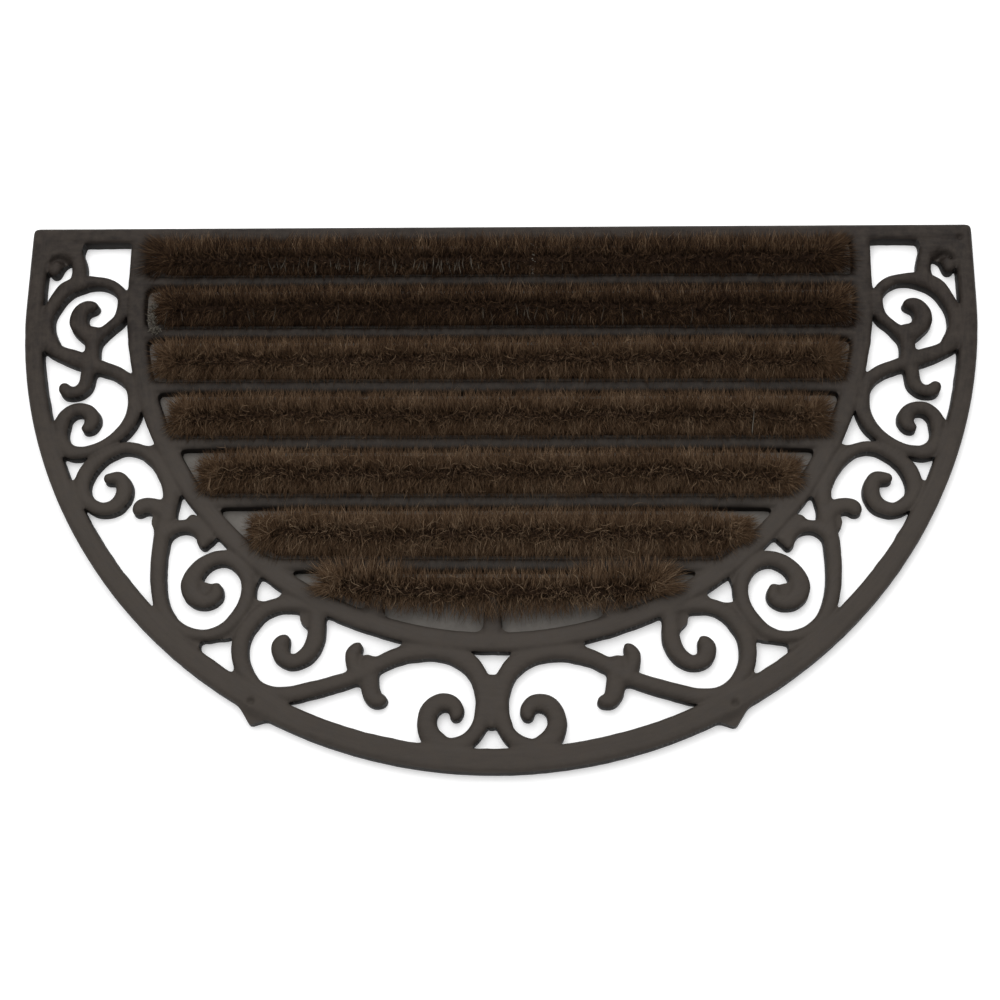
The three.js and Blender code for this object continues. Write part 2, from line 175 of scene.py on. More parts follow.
@dataclass(frozen=True)
class MatPlan:
    """Driving sizes of the mat, the same as in the part's source."""

    width: float = 750.0
    depth: float = 440.0
    corner_radius: float = 4.0
    rim_width_side: float = 13.0
    rim_width_front: float = 18.0
    rail_width: float = 13.0
    inner_rim_width: float = 14.5
    inner_rim_radius: float = 287.25
    inner_rim_centre_y: float = 165.0
    bar_width: float = 9.0
    bar_lines_y: Tuple[float, ...] = (172.0, 127.5, 82.0, 35.0, -12.5, -62.5)
    frame_top: float = 13.0
    tray_floor: float = 3.0
    brush_top: float = 20.0

    @property
    def back_edge_y(self) -> float:
        """Y of the straight back edge."""
        return self.depth / 2

    @property
    def outer_radius(self) -> float:
        """Radius of the round front."""
        return self.width / 2

    @property
    def outer_centre_y(self) -> float:
        """Y of the centre of the round front."""
        return self.outer_radius - self.depth / 2

    @property
    def tray_back_y(self) -> float:
        """Y of the trays' back wall, along the rail."""
        return self.back_edge_y - self.rail_width


PLAN = MatPlan()


@dataclass(frozen=True)
class Section:
    """Half-round section of a band: its height is edge at both edges and top along the middle."""

    edge: float
    top: float
    squareness: float
    fullness: float = 1.7

    def height(self, share: Map) -> Map:
        """Height at a share of the half width, by (1 - share^squareness)^(1 / fullness)."""
        rise = (1.0 - np.clip(share, 0.0, 1.0) ** self.squareness) ** (1.0 / self.fullness)
        return self.edge + (self.top - self.edge) * rise


class Tip(Enum):
    """Which ends of a band are free and drawn in to a blunt tip."""

    NONE = (False, False)
    END = (False, True)
    BOTH = (True, True)


@dataclass(frozen=True)
class Band:
    """One band of the moulding: which ends are free, and its knots of (x, y, width)."""

    tip: Tip
    knots: Tuple[Knot, ...]


SCROLL_BANDS: Dict[str, Band] = {
    "corner curl": Band(Tip.END, (
        (336.5, 174, 13), (336.5, 187, 11.5), (340.5, 198, 12), (349, 203, 13), (356.5, 197, 14.5),
        (355.5, 182.5, 13))),
    "scroll 1 ring": Band(Tip.NONE, (
        (319, 124, 12), (309, 133, 8.5), (300.5, 141.5, 9), (297.5, 152, 10), (299.5, 162, 9),
        (308, 170.5, 8.5), (321, 174, 8.5), (334, 172.7, 11.5), (345, 167.5, 13), (353, 156, 11),
        (358, 143, 11), (357, 130, 11), (351, 118, 11))),
    "scroll 1 neck": Band(Tip.NONE, ((320, 128, 14), (319.8, 116, 11.2), (320.5, 104, 14))),
    "scroll 1 heart": Band(Tip.END, (
        (321, 125, 12), (328, 131, 13), (332.8, 138.5, 14), (332.5, 145.5, 13), (328, 151, 11.5),
        (320, 152, 8))),
    "scroll 2 band and ring": Band(Tip.NONE, (
        (362, 125, 11), (352, 116.3, 11), (342.5, 111.3, 11.5), (332, 107.5, 12.8), (320, 103, 11.5),
        (309, 99.5, 10), (297, 94.7, 10), (287.5, 86.5, 10.5), (282.8, 75.5, 11.3), (282.6, 63, 11.3),
        (287, 51, 10.5), (295.5, 40.8, 9.5), (306, 33.5, 8.7), (318, 29, 9.5), (330, 29.3, 11.5),
        (338, 37.5, 12), (339.5, 52, 11))),
    "scroll 2 hook": Band(Tip.END, (
        (321.5, 102, 11), (321.8, 93, 11), (323.5, 84, 10.5), (329.5, 79.2, 9.5), (336.5, 79.5, 10),
        (340.3, 83.8, 9))),
    "scroll 2 heart": Band(Tip.END, (
        (339, 50, 11), (337, 58, 10.5), (329.5, 64.2, 10), (320, 63.5, 10.5), (315, 57, 12.5),
        (316.5, 50, 9.5), (320.5, 48, 7))),
    "scroll 3 stem and ring": Band(Tip.NONE, (
        (249, -12, 11), (250, 0, 12), (256, 13, 11.5), (265, 24, 10), (276, 31, 9), (288, 32.5, 9),
        (300, 28, 9.5), (309.5, 21, 11.5), (316, 12, 12.5), (318.5, 0, 12), (315, -9.5, 11),
        (303, -17.5, 10.5), (291.5, -15, 11.5), (286, -7, 12.3), (286, 1, 12), (290, 7.2, 10.5),
        (298, 7.2, 8))),
    "scroll 3 leaf": Band(Tip.END, (
        (250, -25, 12), (256, -17.5, 12), (264, -14.5, 11.5), (271, -15.5, 11.5), (274, -19.5, 9))),
    "long stem and scroll 4 ring": Band(Tip.NONE, (
        (247.5, -4, 11), (250.5, -22, 12), (254, -42, 12), (255, -60, 11.5), (254, -77, 11),
        (250, -94, 11), (242, -107, 10.5), (230, -115, 9.5), (216, -117.3, 9), (203, -113.5, 10),
        (193, -104, 11), (186.5, -92, 11), (185, -78, 11), (189, -67, 11), (197, -59, 11),
        (207.5, -56.3, 11), (218, -60, 11.5), (225.5, -67.5, 13), (229, -77, 15), (226.5, -86, 13.5),
        (217, -90.5, 11.5), (209.5, -86, 10.5), (209.3, -80, 7.5))),
    "scroll 4 foot": Band(Tip.NONE, ((231, -26, 8), (223, -33, 9), (217, -41, 8))),
    "scroll 4 hook": Band(Tip.END, (
        (252, -38, 10), (245.5, -33, 9.5), (236, -30.8, 9), (227.5, -33, 10), (222, -39, 10.5),
        (221.3, -47, 8.5))),
    "scroll 5 ring": Band(Tip.NONE, (
        (129, -99.5, 9), (139, -94.5, 10), (150, -93, 11), (162, -93.5, 11), (173, -98, 11.5),
        (182, -107.5, 12), (188, -119, 12.3), (188.8, -132, 12.3), (184.5, -145, 12), (176, -155.5, 11),
        (165, -161, 11), (151, -162, 12), (137, -159, 12), (120, -154.3, 11.5), (105, -149.5, 11),
        (94, -145, 11))),
    "scroll 5 heart": Band(Tip.END, (
        (133, -98, 11), (132, -109, 12.5), (133, -121, 13.3), (138, -131, 12), (147.5, -136.7, 11),
        (156, -134, 12), (159, -126, 13), (155, -118.8, 8))),
    "scroll 6 ring": Band(Tip.NONE, (
        (98, -147, 12), (86, -139.5, 11.5), (73, -133, 12), (58, -129.5, 12), (44, -129.3, 11.5),
        (30.5, -131.4, 12.5), (19, -136.8, 14.5), (11, -146, 13.5), (7, -157.5, 13), (6, -168, 12),
        (7.5, -180, 12), (12.5, -190.5, 11), (21, -198, 12), (34, -202, 14))),
    "scroll 6 upper leaf": Band(Tip.END, (
        (99, -148, 12), (103.3, -139, 11), (104, -131, 11), (99.5, -124.5, 7.5))),
    "scroll 6 lower leaf": Band(Tip.END, (
        (93, -139, 12), (91, -149, 12.5), (90.3, -158, 13.5), (86.5, -165.3, 11.5), (79.5, -166, 8))),
    "scroll 6 heart": Band(Tip.END, (
        (38, -200, 17), (45, -192, 15), (48, -182.5, 14), (45.8, -173.5, 13.3), (38.5, -167.5, 13),
        (30.5, -168, 12.2), (26, -173.5, 10.5), (27, -179, 7.5))),
}
CENTRE_WEB = Band(Tip.BOTH, ((0, -149.5, 10), (0, -158, 13), (0, -174, 13), (0, -184, 10)))
CENTRE_RIB = Band(Tip.NONE, ((-0.5, -93, 12), (-0.5, -103, 12.5), (-0.5, -111, 13.5), (-0.5, -120, 15)))
SIDE_RIB = Band(Tip.NONE, ((88, -92, 12), (89.5, -100, 12.5), (91, -106, 14), (93, -113, 16)))


@dataclass(frozen=True)
class Disc:
    """Round flat fill between bands of the right half, of a given height."""

    x: float
    y: float
    radius: float
    top: float = 8.8


WEBS = (
    Disc(350, 196, 7), Disc(342, 206, 8.5, 11.4), Disc(359, 205, 8, 11.6), Disc(190, -108, 7, 9),
    Disc(218, -82, 6, 9),
)
FILLETS = (
    Disc(139.5, -104, 5.2), Disc(93, -138, 5), Disc(182, -70, 5), Disc(154, -87, 5), Disc(178.5, -96, 5),
    Disc(200, -115, 4), Disc(224, -127, 4.5), Disc(190, -151, 4.5), Disc(258, -28, 4.5),
    Disc(242.5, 0, 4.5), Disc(62, -125.5, 4.5), Disc(326, -1, 4), Disc(263, 28, 6),
)


@dataclass(frozen=True)
class RimTab:
    """Three-cornered tab outside the rim.

    Its root lies between two angles from the front, in degrees, and foot is how far that is inside the
    outline. Its tip lies at an angle of its own, and slope is how far its edge takes to rise to its top.
    """

    start: float = 26.0
    end: float = 30.6
    tip: float = 27.7
    foot: float = 2.0
    reach: float = 9.0
    top: float = 7.0
    edge: float = 5.5
    slope: float = 2.0

    def corners(self) -> Map:
        """Plan corners of the right tab.

        Returns:
            Rows (x, y).
        """
        angles = np.radians([self.start, self.end, self.tip])
        radii = PLAN.outer_radius + np.array([-self.foot, -self.foot, self.reach])
        return np.stack([radii * np.sin(angles), PLAN.outer_centre_y - radii * np.cos(angles)], axis=1)


@dataclass(frozen=True)
class Dimple:
    """Small round mark left in the rubber by the mould."""

    x: float
    y: float
    radius: float = 2.5
    depth: float = 3.0


DIMPLES = (Dimple(178, -168), Dimple(-178, -168), Dimple(365.5, 208))


@dataclass(frozen=True)
class Groove:
    """Groove moulded into both halves, through knots of (x, y, width) on the right one."""

    depth: float
    knots: Tuple[Knot, ...]


CURL_GROOVE = Groove(4.6, (
    (342.8, 179, 3.0), (344.6, 186, 4.6), (348.6, 191.6, 5.6), (354, 193.6, 5.0), (359, 190.5, 3.2)))


# Meshes


def split_quads(quads: Map) -> Map:
    """Two triangles for each row of four point numbers."""
    return np.vstack([quads[:, [0, 1, 2]], quads[:, [0, 2, 3]]])


class MeshParts:
    """Points and triangles gathered for one mesh."""

    def __init__(self) -> None:
        """Starts with nothing."""
        self.points: List[Map] = []
        self.triangles: List[Map] = []
        self.patterns: List[Map] = []
        self.count = 0

    def add(self, points: Map, triangles: Optional[Map] = None, pattern: Optional[Map] = None) -> int:
        """Adds points, and perhaps triangles on them and their pattern coordinates.

        Args:
            points: Rows (x, y, z) in millimetres.
            triangles: Rows of three numbers of these points, counter-clockwise seen from outside.
            pattern: Rows (u, v).

        Returns:
            The number that the first of the points has in the mesh.
        """
        first = self.count
        self.points.append(points)
        self.count += len(points)
        if triangles is not None:
            self.triangles.append(triangles + first)
        if pattern is not None:
            self.patterns.append(pattern)
        return first

    def object(self, name: str, is_smooth: bool = True) -> Piece:
        """Makes the mesh and an object for it at the origin, with the pattern coordinates as a UV map.

        Args:
            name: Name of the piece.
            is_smooth: Whether the faces are shaded smooth.

        Returns:
            The new object, linked to the scene.
        """
        points, triangles = np.vstack(self.points), np.vstack(self.triangles)
        mesh = bpy.data.meshes.new(name)
        mesh.vertices.add(len(points))
        mesh.vertices.foreach_set("co", (points * MM).astype(np.float32).ravel())
        mesh.loops.add(triangles.size)
        mesh.loops.foreach_set("vertex_index", triangles.astype(np.int32).ravel())
        mesh.polygons.add(len(triangles))
        mesh.polygons.foreach_set("loop_start", np.arange(0, triangles.size, 3, dtype=np.int32))
        mesh.polygons.foreach_set("use_smooth", np.full(len(triangles), is_smooth))
        mesh.update(calc_edges=True)
        if self.patterns:
            pattern = np.vstack(self.patterns)[triangles.ravel()]
            layer = mesh.uv_layers.new(name=FIBRE_MAP)
            layer.uv.foreach_set("vector", pattern.astype(np.float32).ravel())
        piece = bpy.data.objects.new(name, mesh)
        bpy.context.scene.collection.objects.link(piece)
        return piece


def inside_loops(points: Map, starts: Map, ends: Map) -> Map:
    """Which plan points lie inside closed loops, by how often a line to the right of each crosses an edge.

    Args:
        points: Rows (x, y).
        starts: First end of each edge.
        ends: Last end of each edge.

    Returns:
        True where the number of crossings is odd.
    """
    order = np.argsort(points[:, 1])
    heights = points[order, 1]
    first = np.searchsorted(heights, np.minimum(starts[:, 1], ends[:, 1]))
    last = np.searchsorted(heights, np.maximum(starts[:, 1], ends[:, 1]))
    counts = last - first
    edge = np.repeat(np.arange(len(starts)), counts)
    rank = np.arange(counts.sum()) - np.repeat(np.cumsum(counts) - counts, counts) + first[edge]
    point = order[rank]
    rise = ends[edge, 1] - starts[edge, 1]
    share = (points[point, 1] - starts[edge, 1]) / rise
    x = starts[edge, 0] + share * (ends[edge, 0] - starts[edge, 0])
    crossings = np.bincount(point[x > points[point, 0]], minlength=len(points))
    return crossings % 2 == 1


def flat_fill(points: Map, edges: Map) -> Tuple[Map, Map, Map]:
    """Triangles that fill the plan between closed loops of edges, counter-clockwise from above.

    Args:
        points: Rows (x, y).
        edges: Rows of two point numbers.

    Returns:
        All points of the fill, the number of the given point that each stands for or -1, and the triangles.
    """
    places = [Vector(place) for place in points.tolist()]
    made = delaunay_2d_cdt(places, edges.tolist(), [], 0, 1e-5)
    filled = np.array([tuple(place) for place in made[0]])
    triangles = np.array(made[2])
    origin = np.array([sources[0] if sources else -1 for sources in made[3]])
    centres = filled[triangles].mean(axis=1)
    keep = inside_loops(centres, points[edges[:, 0]], points[edges[:, 1]])
    return filled, origin, triangles[keep]


# Moulded frame


class Relief:
    """Height map of the frame over a square grid, with a map of how far each point is inside its edge.

    A band counts up to OVERLAP grid steps outside its own edge. REACH is how far round a band its fillets
    matter, MARGIN is how far the grid runs past the mat, and VALLEY is the blend of two heights.
    """

    FAR = -60.0
    MARGIN = 6.0
    REACH = 8.0
    OVERLAP = 1.6
    VALLEY = 1.8
    WHOLE = (slice(None), slice(None))

    def __init__(self, spacing: float) -> None:
        """Lays the grid over the mat.

        Args:
            spacing: Distance between grid points.
        """
        self.spacing = spacing
        columns = math.ceil((PLAN.width / 2 + self.MARGIN) / spacing)
        rows = math.ceil((PLAN.depth / 2 + self.MARGIN) / spacing)
        self.xs = np.arange(-columns, columns + 1) * spacing
        self.ys = np.arange(-rows, rows + 1) * spacing
        self.x, self.y = np.meshgrid(self.xs, self.ys)
        self.inside = np.full(self.x.shape, self.FAR)
        self.height = np.full(self.x.shape, self.FAR)

    def add(self, inside: Map, height: Map, fillet: Union[float, Map] = 2.0, where: Window = WHOLE) -> None:
        """Joins one band to the relief, with a fillet in plan and a soft valley in height.

        Args:
            inside: How far each point lies inside the band's edge.
            height: The band's own height.
            fillet: Blend of the edges.
            where: Part of the grid that the two maps cover.
        """
        lifted = np.where(inside > -self.OVERLAP * self.spacing, height, self.FAR)
        self.inside[where] = smooth_max(self.inside[where], inside, fillet)
        self.height[where] = smooth_max(self.height[where], lifted, self.VALLEY)

    def across(self, path: Map) -> Tuple[Window, Map, Map]:
        """Distances from the grid's points to the nearest stretch of a path.

        The nearest stretch is the one that a point lies furthest inside.

        Args:
            path: Rows (x, y, width).

        Returns:
            The part of the grid round the path, and there the distance to it and the half width beside it.
        """
        reach = path[:, 2].max() / 2 + self.REACH
        low, high = path[:, :2].min(axis=0) - reach, path[:, :2].max(axis=0) + reach
        columns = slice(*np.searchsorted(self.xs, (low[0], high[0])))
        rows = slice(*np.searchsorted(self.ys, (low[1], high[1])))
        where = (rows, columns)
        x, y = self.x[where][..., None], self.y[where][..., None]
        start, step = path[:-1], np.diff(path, axis=0)
        length2 = np.maximum(step[:, 0] ** 2 + step[:, 1] ** 2, 1e-9)
        along = ((x - start[:, 0]) * step[:, 0] + (y - start[:, 1]) * step[:, 1]) / length2
        along = np.clip(along, 0, 1)
        away = np.hypot(x - start[:, 0] - along * step[:, 0], y - start[:, 1] - along * step[:, 1])
        half = (start[:, 2] + along * step[:, 2]) / 2
        nearest = np.argmax(half - away, axis=-1)[..., None]
        away, half = (np.take_along_axis(values, nearest, -1)[..., 0] for values in (away, half))
        return where, away, half

    def add_strip(self, path: Map, section: Section, limit: Optional[Map] = None) -> None:
        """Joins a strip of changing width along a path, high by the share of its half width at each point.

        Args:
            path: Rows (x, y, width).
            section: Section across the strip.
            limit: Map of how far each point lies inside a line that cuts the strip off.
        """
        where, away, half = self.across(path)
        inside = half - away if limit is None else np.minimum(half - away, limit[where])
        self.add(inside, section.height(away / half), where=where)

    def carve(self, path: Map, depth: float) -> None:
        """Cuts a round-bottomed groove along a path, by depth * exp(-(distance / half width)^4)."""
        where, away, half = self.across(path)
        self.height[where] -= depth * np.exp(-((away / half) ** 4))

    def mirror(self) -> None:
        """Joins the left half as the mirror image of the right."""
        self.inside = smooth_max(self.inside, self.inside[:, ::-1], self.VALLEY)
        self.height = smooth_max(self.height, self.height[:, ::-1], self.VALLEY)


class ReliefSkin:
    """Top surface of a relief: one point in each cell that holds material, one quad round each point inside.

    In a cell that the edge crosses, the point is the mean of the crossings, so the quads end on the edge.
    """

    PINCH_PASSES = 4
    LEAST_DEPTH = 0.02
    CROSSING_RANGE = (0.05, 0.95)
    PLACE_PASSES = 2
    HEIGHT_PASSES = 6
    OUTWARD_PASSES = 4

    def __init__(self, relief: Relief) -> None:
        """Works out points, quads, edges and outward directions.

        Args:
            relief: The relief to skin.
        """
        self.relief = relief
        self.mask = relief.inside > 0
        self._part_pinches()
        corners = self._corners(self.mask)
        total = sum(corner.astype(int) for corner in corners)
        is_live = total > 0
        self.number = np.cumsum(is_live).reshape(is_live.shape) - 1
        place = self._places(corners, total)[is_live]
        u = (place[:, 0] - relief.xs[0]) / relief.spacing
        v = (place[:, 1] - relief.ys[0]) / relief.spacing
        height = between_points(relief.height, u, v, is_smooth=False)
        self.points = np.column_stack([place, height])
        self.quads = self._quads()
        self.edges = self._edges()
        self.points = self._evened(self.points, self.PLACE_PASSES)
        self.points[:, 2:] = self._evened(self.points[:, 2:], self.HEIGHT_PASSES)
        self.outward = self._outward()

    @staticmethod
    def _corners(values: Map) -> Tuple[Map, Map, Map, Map]:
        """Values at the four corners of each cell, counter-clockwise from the lower left."""
        return values[:-1, :-1], values[:-1, 1:], values[1:, 1:], values[1:, :-1]

    def _part_pinches(self) -> None:
        """Fills a corner of each cell whose material meets only across its diagonal."""
        for _ in range(self.PINCH_PASSES):
            a, b, c, d = self._corners(self.mask)
            rising = a & c & ~b & ~d
            falling = b & d & ~a & ~c
            self.mask[:-1, 1:] |= rising
            self.mask[:-1, :-1] |= falling
        inside = self.relief.inside
        self.inside = np.where(self.mask, np.maximum(inside, self.LEAST_DEPTH), inside)

    def _places(self, corners: Tuple[Map, Map, Map, Map], total: Map) -> Map:
        """Plan position of each cell's point: its middle, or the mean of the edge's crossings of its sides.

        Args:
            corners: Whether each corner of each cell is inside.
            total: How many are.

        Returns:
            The x and y of each cell's point.
        """
        relief = self.relief
        values = self._corners(self.inside)
        offsets = np.array([(0, 0), (1, 0), (1, 1), (0, 1)], float)
        sums = np.zeros(total.shape + (2,))
        hits = np.zeros(total.shape)
        for k, n in ((0, 1), (1, 2), (2, 3), (3, 0)):
            is_cut = corners[k] != corners[n]
            gap = np.where(is_cut, values[k] - values[n], 1.0)
            share = np.clip(values[k] / gap, *self.CROSSING_RANGE)[..., None]
            at = offsets[k] + share * (offsets[n] - offsets[k])
            sums += np.where(is_cut[..., None], at, 0.0)
            hits += is_cut
        inner = np.where(hits[..., None] > 0, sums / np.maximum(hits, 1)[..., None], 0.5)
        origin = np.stack(np.meshgrid(relief.xs[:-1], relief.ys[:-1]), axis=-1)
        return origin + inner * relief.spacing

    def _quads(self) -> Map:
        """Quads of point numbers, one round each grid point inside."""
        rounds = np.stack(self._corners(self.number), axis=-1)
        return rounds[self.mask[1:-1, 1:-1]]

    def _edges(self) -> Map:
        """Border edges, one between the two cells beside each side of the grid that the edge crosses.

        Returns:
            Rows of two point numbers, with the material on their left.
        """
        mask, number = self.mask, self.number
        below, above, left, right = number[:-1, :], number[1:, :], number[:, :-1], number[:, 1:]
        left_in, right_in = mask[1:-1, :-1], mask[1:-1, 1:]
        low_in, high_in = mask[:-1, 1:-1], mask[1:, 1:-1]
        sides = (
            (below, above, left_in & ~right_in),
            (above, below, ~left_in & right_in),
            (right, left, low_in & ~high_in),
            (left, right, ~low_in & high_in),
        )
        return np.vstack([np.stack([start, end], -1)[is_border] for start, end, is_border in sides])

    def _evened(self, values: Map, passes: int) -> Map:
        """Values at the points, evened along the border, so that it shows no steps of the grid.

        In each pass a border point's values move half way to the mean of its two neighbours' values.

        Args:
            values: A row of values for each point.
            passes: Number of passes.

        Returns:
            The evened rows.
        """
        start, end = self.edges.T
        is_plain = (np.bincount(self.edges.ravel(), minlength=len(values)) == 2)[:, None]
        for _ in range(passes):
            total = np.zeros_like(values)
            np.add.at(total, start, values[end])
            np.add.at(total, end, values[start])
            values = np.where(is_plain, 0.5 * values + 0.25 * total, values)
        return values

    def _outward(self) -> Map:
        """Plan direction out of the material at each border point: the mean of those of the edges beside it.

        The mean is weighed by length and evened, so it is shorter than one where the border turns sharply,
        and walls that lean outward don't cross in a narrow tip.

        Returns:
            A row (x, y) for each point.
        """
        start, end = self.edges.T
        along = self.points[end, :2] - self.points[start, :2]
        square = np.column_stack([along[:, 1], -along[:, 0], np.hypot(along[:, 0], along[:, 1])])
        total = np.zeros((len(self.points), 3))
        np.add.at(total, start, square)
        np.add.at(total, end, square)
        total = self._evened(total, self.OUTWARD_PASSES)
        return total[:, :2] / np.maximum(total[:, 2:], 1e-6)


@dataclass(frozen=True)
class Level:
    """One ring of a wall: its height, how far out of the edge it lies, and its share of the uneven flash."""

    z: float
    draft: float
    flash: float = 0.0


@dataclass(frozen=True)
class MouldedFrame:
    """Rubber frame: rim, rail, inner rim, bars, ribs, scroll work and closed tray floors, as one skin.

    The relief's grid gives the top, its zero line gives the edges, walls drop from the edges to the underside
    or to a tray floor, and flat fills close the underside and the floors. Over the range edge_waves_from,
    inside the outline, the waves of the edges grow. In front of pocket_y the inner rim's fillets are wider.
    """

    spacing: float = 1.35
    scroll_section: Section = Section(edge=8.4, top=12.0, squareness=2.6)
    bar_section: Section = Section(edge=10.4, top=13.0, squareness=3.2)
    inner_rim_section: Section = Section(edge=10.2, top=13.0, squareness=4.0)
    rim_edge: float = 9.8
    rim_rounding: float = 4.2
    rim_fillet: float = 6.0
    bar_fillet: float = 6.0
    inner_rim_fillet: float = 2.0
    pocket_fillet: float = 7.0
    pocket_y: float = -90.0
    web_fillet: float = 3.5
    disc_fillet: float = 6.0
    rim_overlap: float = 2.0
    tray_overlap: float = 4.0
    tip_taper: float = 0.6
    path_samples: int = 10
    edge_waves: Tuple[PlaneNoise, ...] = (PlaneNoise(9.0, 11, 0.26), PlaneNoise(3.6, 12, 0.2))
    edge_waves_from: Span = (7.0, 13.0)
    swelling: Tuple[PlaneNoise, ...] = (PlaneNoise(14.0, 13, 0.08), PlaneNoise(4.2, 14, 0.05))
    flash: float = 0.55
    flash_wave: PlaneNoise = PlaneNoise(5.0, 21, 0.45)
    open_wall: Tuple[Level, ...] = (Level(2.6, 0.25), Level(0.9, 0.3, 0.22), Level(0.0, 0.15, 0.2))
    tray_wall: Tuple[Level, ...] = (Level(PLAN.tray_floor, 0.5),)
    crease_angle: float = 55.0
    name: str = "moulded_frame"

    def outline_depth(self, x: Map, y: Map) -> Tuple[Map, Map]:
        """How far points lie inside the mat's outline.

        The round side is a half circle with straight tangents to the back edge, and the two back corners are
        rounded by the corner radius.

        Args:
            x: X of the points.
            y: Y of the points.

        Returns:
            The distance inside the whole outline, and that inside its round side alone.
        """
        side = PLAN.outer_radius - round_distance(x, y, PLAN.outer_centre_y)
        back = PLAN.back_edge_y - y
        r = PLAN.corner_radius
        corner = r - np.hypot(r - np.minimum(side, r), r - np.minimum(back, r))
        return np.where((side < r) & (back < r), corner, np.minimum(side, back)), side

    def add_rim(self, relief: Relief) -> None:
        """Joins the outer rim, wider at the front than at the sides, and the back rail.

        Its height rises from the edge to the top over the rounding, as a quarter of an ellipse.

        Args:
            relief: The relief that it joins.
        """
        depth, side = self.outline_depth(relief.x, relief.y)
        drop = np.clip((PLAN.outer_centre_y - relief.y) / PLAN.outer_radius, 0.0, 1.0)
        width = PLAN.rim_width_side + (PLAN.rim_width_front - PLAN.rim_width_side) * drop
        inner = smooth_max(width - side, relief.y - PLAN.tray_back_y, self.rim_fillet)
        band = np.minimum(depth, inner)
        run = np.clip(band / self.rim_rounding, 0.0, 1.0)
        rise = np.sqrt(1.0 - (1.0 - run) ** 2)
        relief.add(band, self.rim_edge + (PLAN.frame_top - self.rim_edge) * rise)

    def add_tray_walls(self, relief: Relief) -> None:
        """Joins the inner rim and the bars across it.

        Args:
            relief: The relief that they join.
        """
        radius = PLAN.inner_rim_radius
        out = round_distance(relief.x, relief.y, PLAN.inner_rim_centre_y)
        half = PLAN.inner_rim_width / 2
        away = np.abs(out - radius)
        ring = np.minimum(half - away, PLAN.tray_back_y + self.rim_overlap - relief.y)
        is_pocket = (out < radius) & (relief.y < self.pocket_y)
        fillet = np.where(is_pocket, self.pocket_fillet, self.inner_rim_fillet)
        relief.add(ring, self.inner_rim_section.height(away / half), fillet)
        half = PLAN.bar_width / 2
        for line in PLAN.bar_lines_y:
            away = np.abs(relief.y - line)
            bar = np.minimum(half - away, radius - out)
            relief.add(bar, self.bar_section.height(away / half), self.bar_fillet)

    def add_tabs(self, relief: Relief) -> None:
        """Joins the two tabs outside the rim, each the overlap of three half planes.

        Args:
            relief: The relief that they join.
        """
        tab = RimTab()
        corners = tab.corners()
        middle = corners.mean(axis=0)
        for side in (1, -1):
            x = side * relief.x
            inside = np.full(x.shape, np.inf)
            for start, end in zip(corners, np.roll(corners, -1, axis=0)):
                normal = np.array([end[1] - start[1], start[0] - end[0]])
                normal /= np.linalg.norm(normal)
                normal *= np.sign(normal @ (middle - start))
                inside = np.minimum(inside, (x - start[0]) * normal[0] + (relief.y - start[1]) * normal[1])
            rise = np.clip(inside / tab.slope, 0.0, 1.0)
            relief.add(inside, tab.edge + (tab.top - tab.edge) * rise)

    def add_band(self, relief: Relief, band: Band, section: Section, limit: Optional[Map] = None) -> None:
        """Joins a band along its curve, with free ends drawn in.

        Args:
            relief: The relief that it joins.
            band: The band.
            section: Section across it.
            limit: Map of how far each point lies inside a line that cuts it off.
        """
        path = smooth_path(band.knots, self.path_samples)
        for is_free, order in zip(band.tip.value, (slice(None), slice(None, None, -1))):
            if is_free:
                ease = np.linspace(self.tip_taper, 1.0, self.path_samples // 2)
                path[order, 2][: len(ease)] *= ease
        relief.add_strip(path, section, limit)

    def relief(self) -> Relief:
        """Relief of the whole frame: one half and its mirror image, and then what lies across both.

        Returns:
            The relief.
        """
        relief = Relief(self.spacing)
        in_tray = PLAN.inner_rim_radius - round_distance(relief.x, relief.y, PLAN.inner_rim_centre_y)
        for band in SCROLL_BANDS.values():
            self.add_band(relief, band, self.scroll_section)
        self.add_band(relief, SIDE_RIB, self.bar_section, in_tray)
        for discs, fillet in ((WEBS, self.web_fillet), (FILLETS, self.disc_fillet)):
            for disc in discs:
                away = np.hypot(relief.x - disc.x, relief.y - disc.y)
                relief.add(disc.radius - away, np.full_like(away, disc.top), fillet)
        relief.mirror()
        self.add_band(relief, CENTRE_WEB, self.scroll_section)
        self.add_band(relief, CENTRE_RIB, self.bar_section, in_tray)
        self.add_tabs(relief)
        self.add_rim(relief)
        self.add_tray_walls(relief)
        self.weather(relief)
        return relief

    def weather(self, relief: Relief) -> None:
        """Adds the moulding's unevenness, the mould's round marks and the groove in each corner curl.

        The edges wave in the open work alone, so the outline, the rail and the trays keep straight ones. The
        top swells slowly, and a dimple is depth * exp(-(distance / radius)^4) deep.

        Args:
            relief: The relief to change.
        """
        x, y = relief.x, relief.y
        depth, _ = self.outline_depth(x, y)
        low, high = self.edge_waves_from
        share = np.clip((depth - low) / (high - low), 0.0, 1.0) * ~self.is_in_tray(x, y)
        relief.inside += share * sum(wave.at(x, y) for wave in self.edge_waves)
        relief.height = np.maximum(relief.height, self.scroll_section.edge)
        relief.height += sum(wave.at(x, y) for wave in self.swelling)
        for dimple in DIMPLES:
            away = np.hypot(x - dimple.x, y - dimple.y) / dimple.radius
            relief.height -= dimple.depth * np.exp(-(away**4))
        path = smooth_path(CURL_GROOVE.knots, self.path_samples)
        relief.carve(path, CURL_GROOVE.depth)
        relief.carve(path * np.array([-1, 1, 1]), CURL_GROOVE.depth)

    def is_in_tray(self, x: Map, y: Map) -> Map:
        """Whether points lie on the trays' side of the inner rim's centre line."""
        out = round_distance(x, y, PLAN.inner_rim_centre_y)
        return (out < PLAN.inner_rim_radius) & (y < PLAN.tray_back_y + self.tray_overlap)

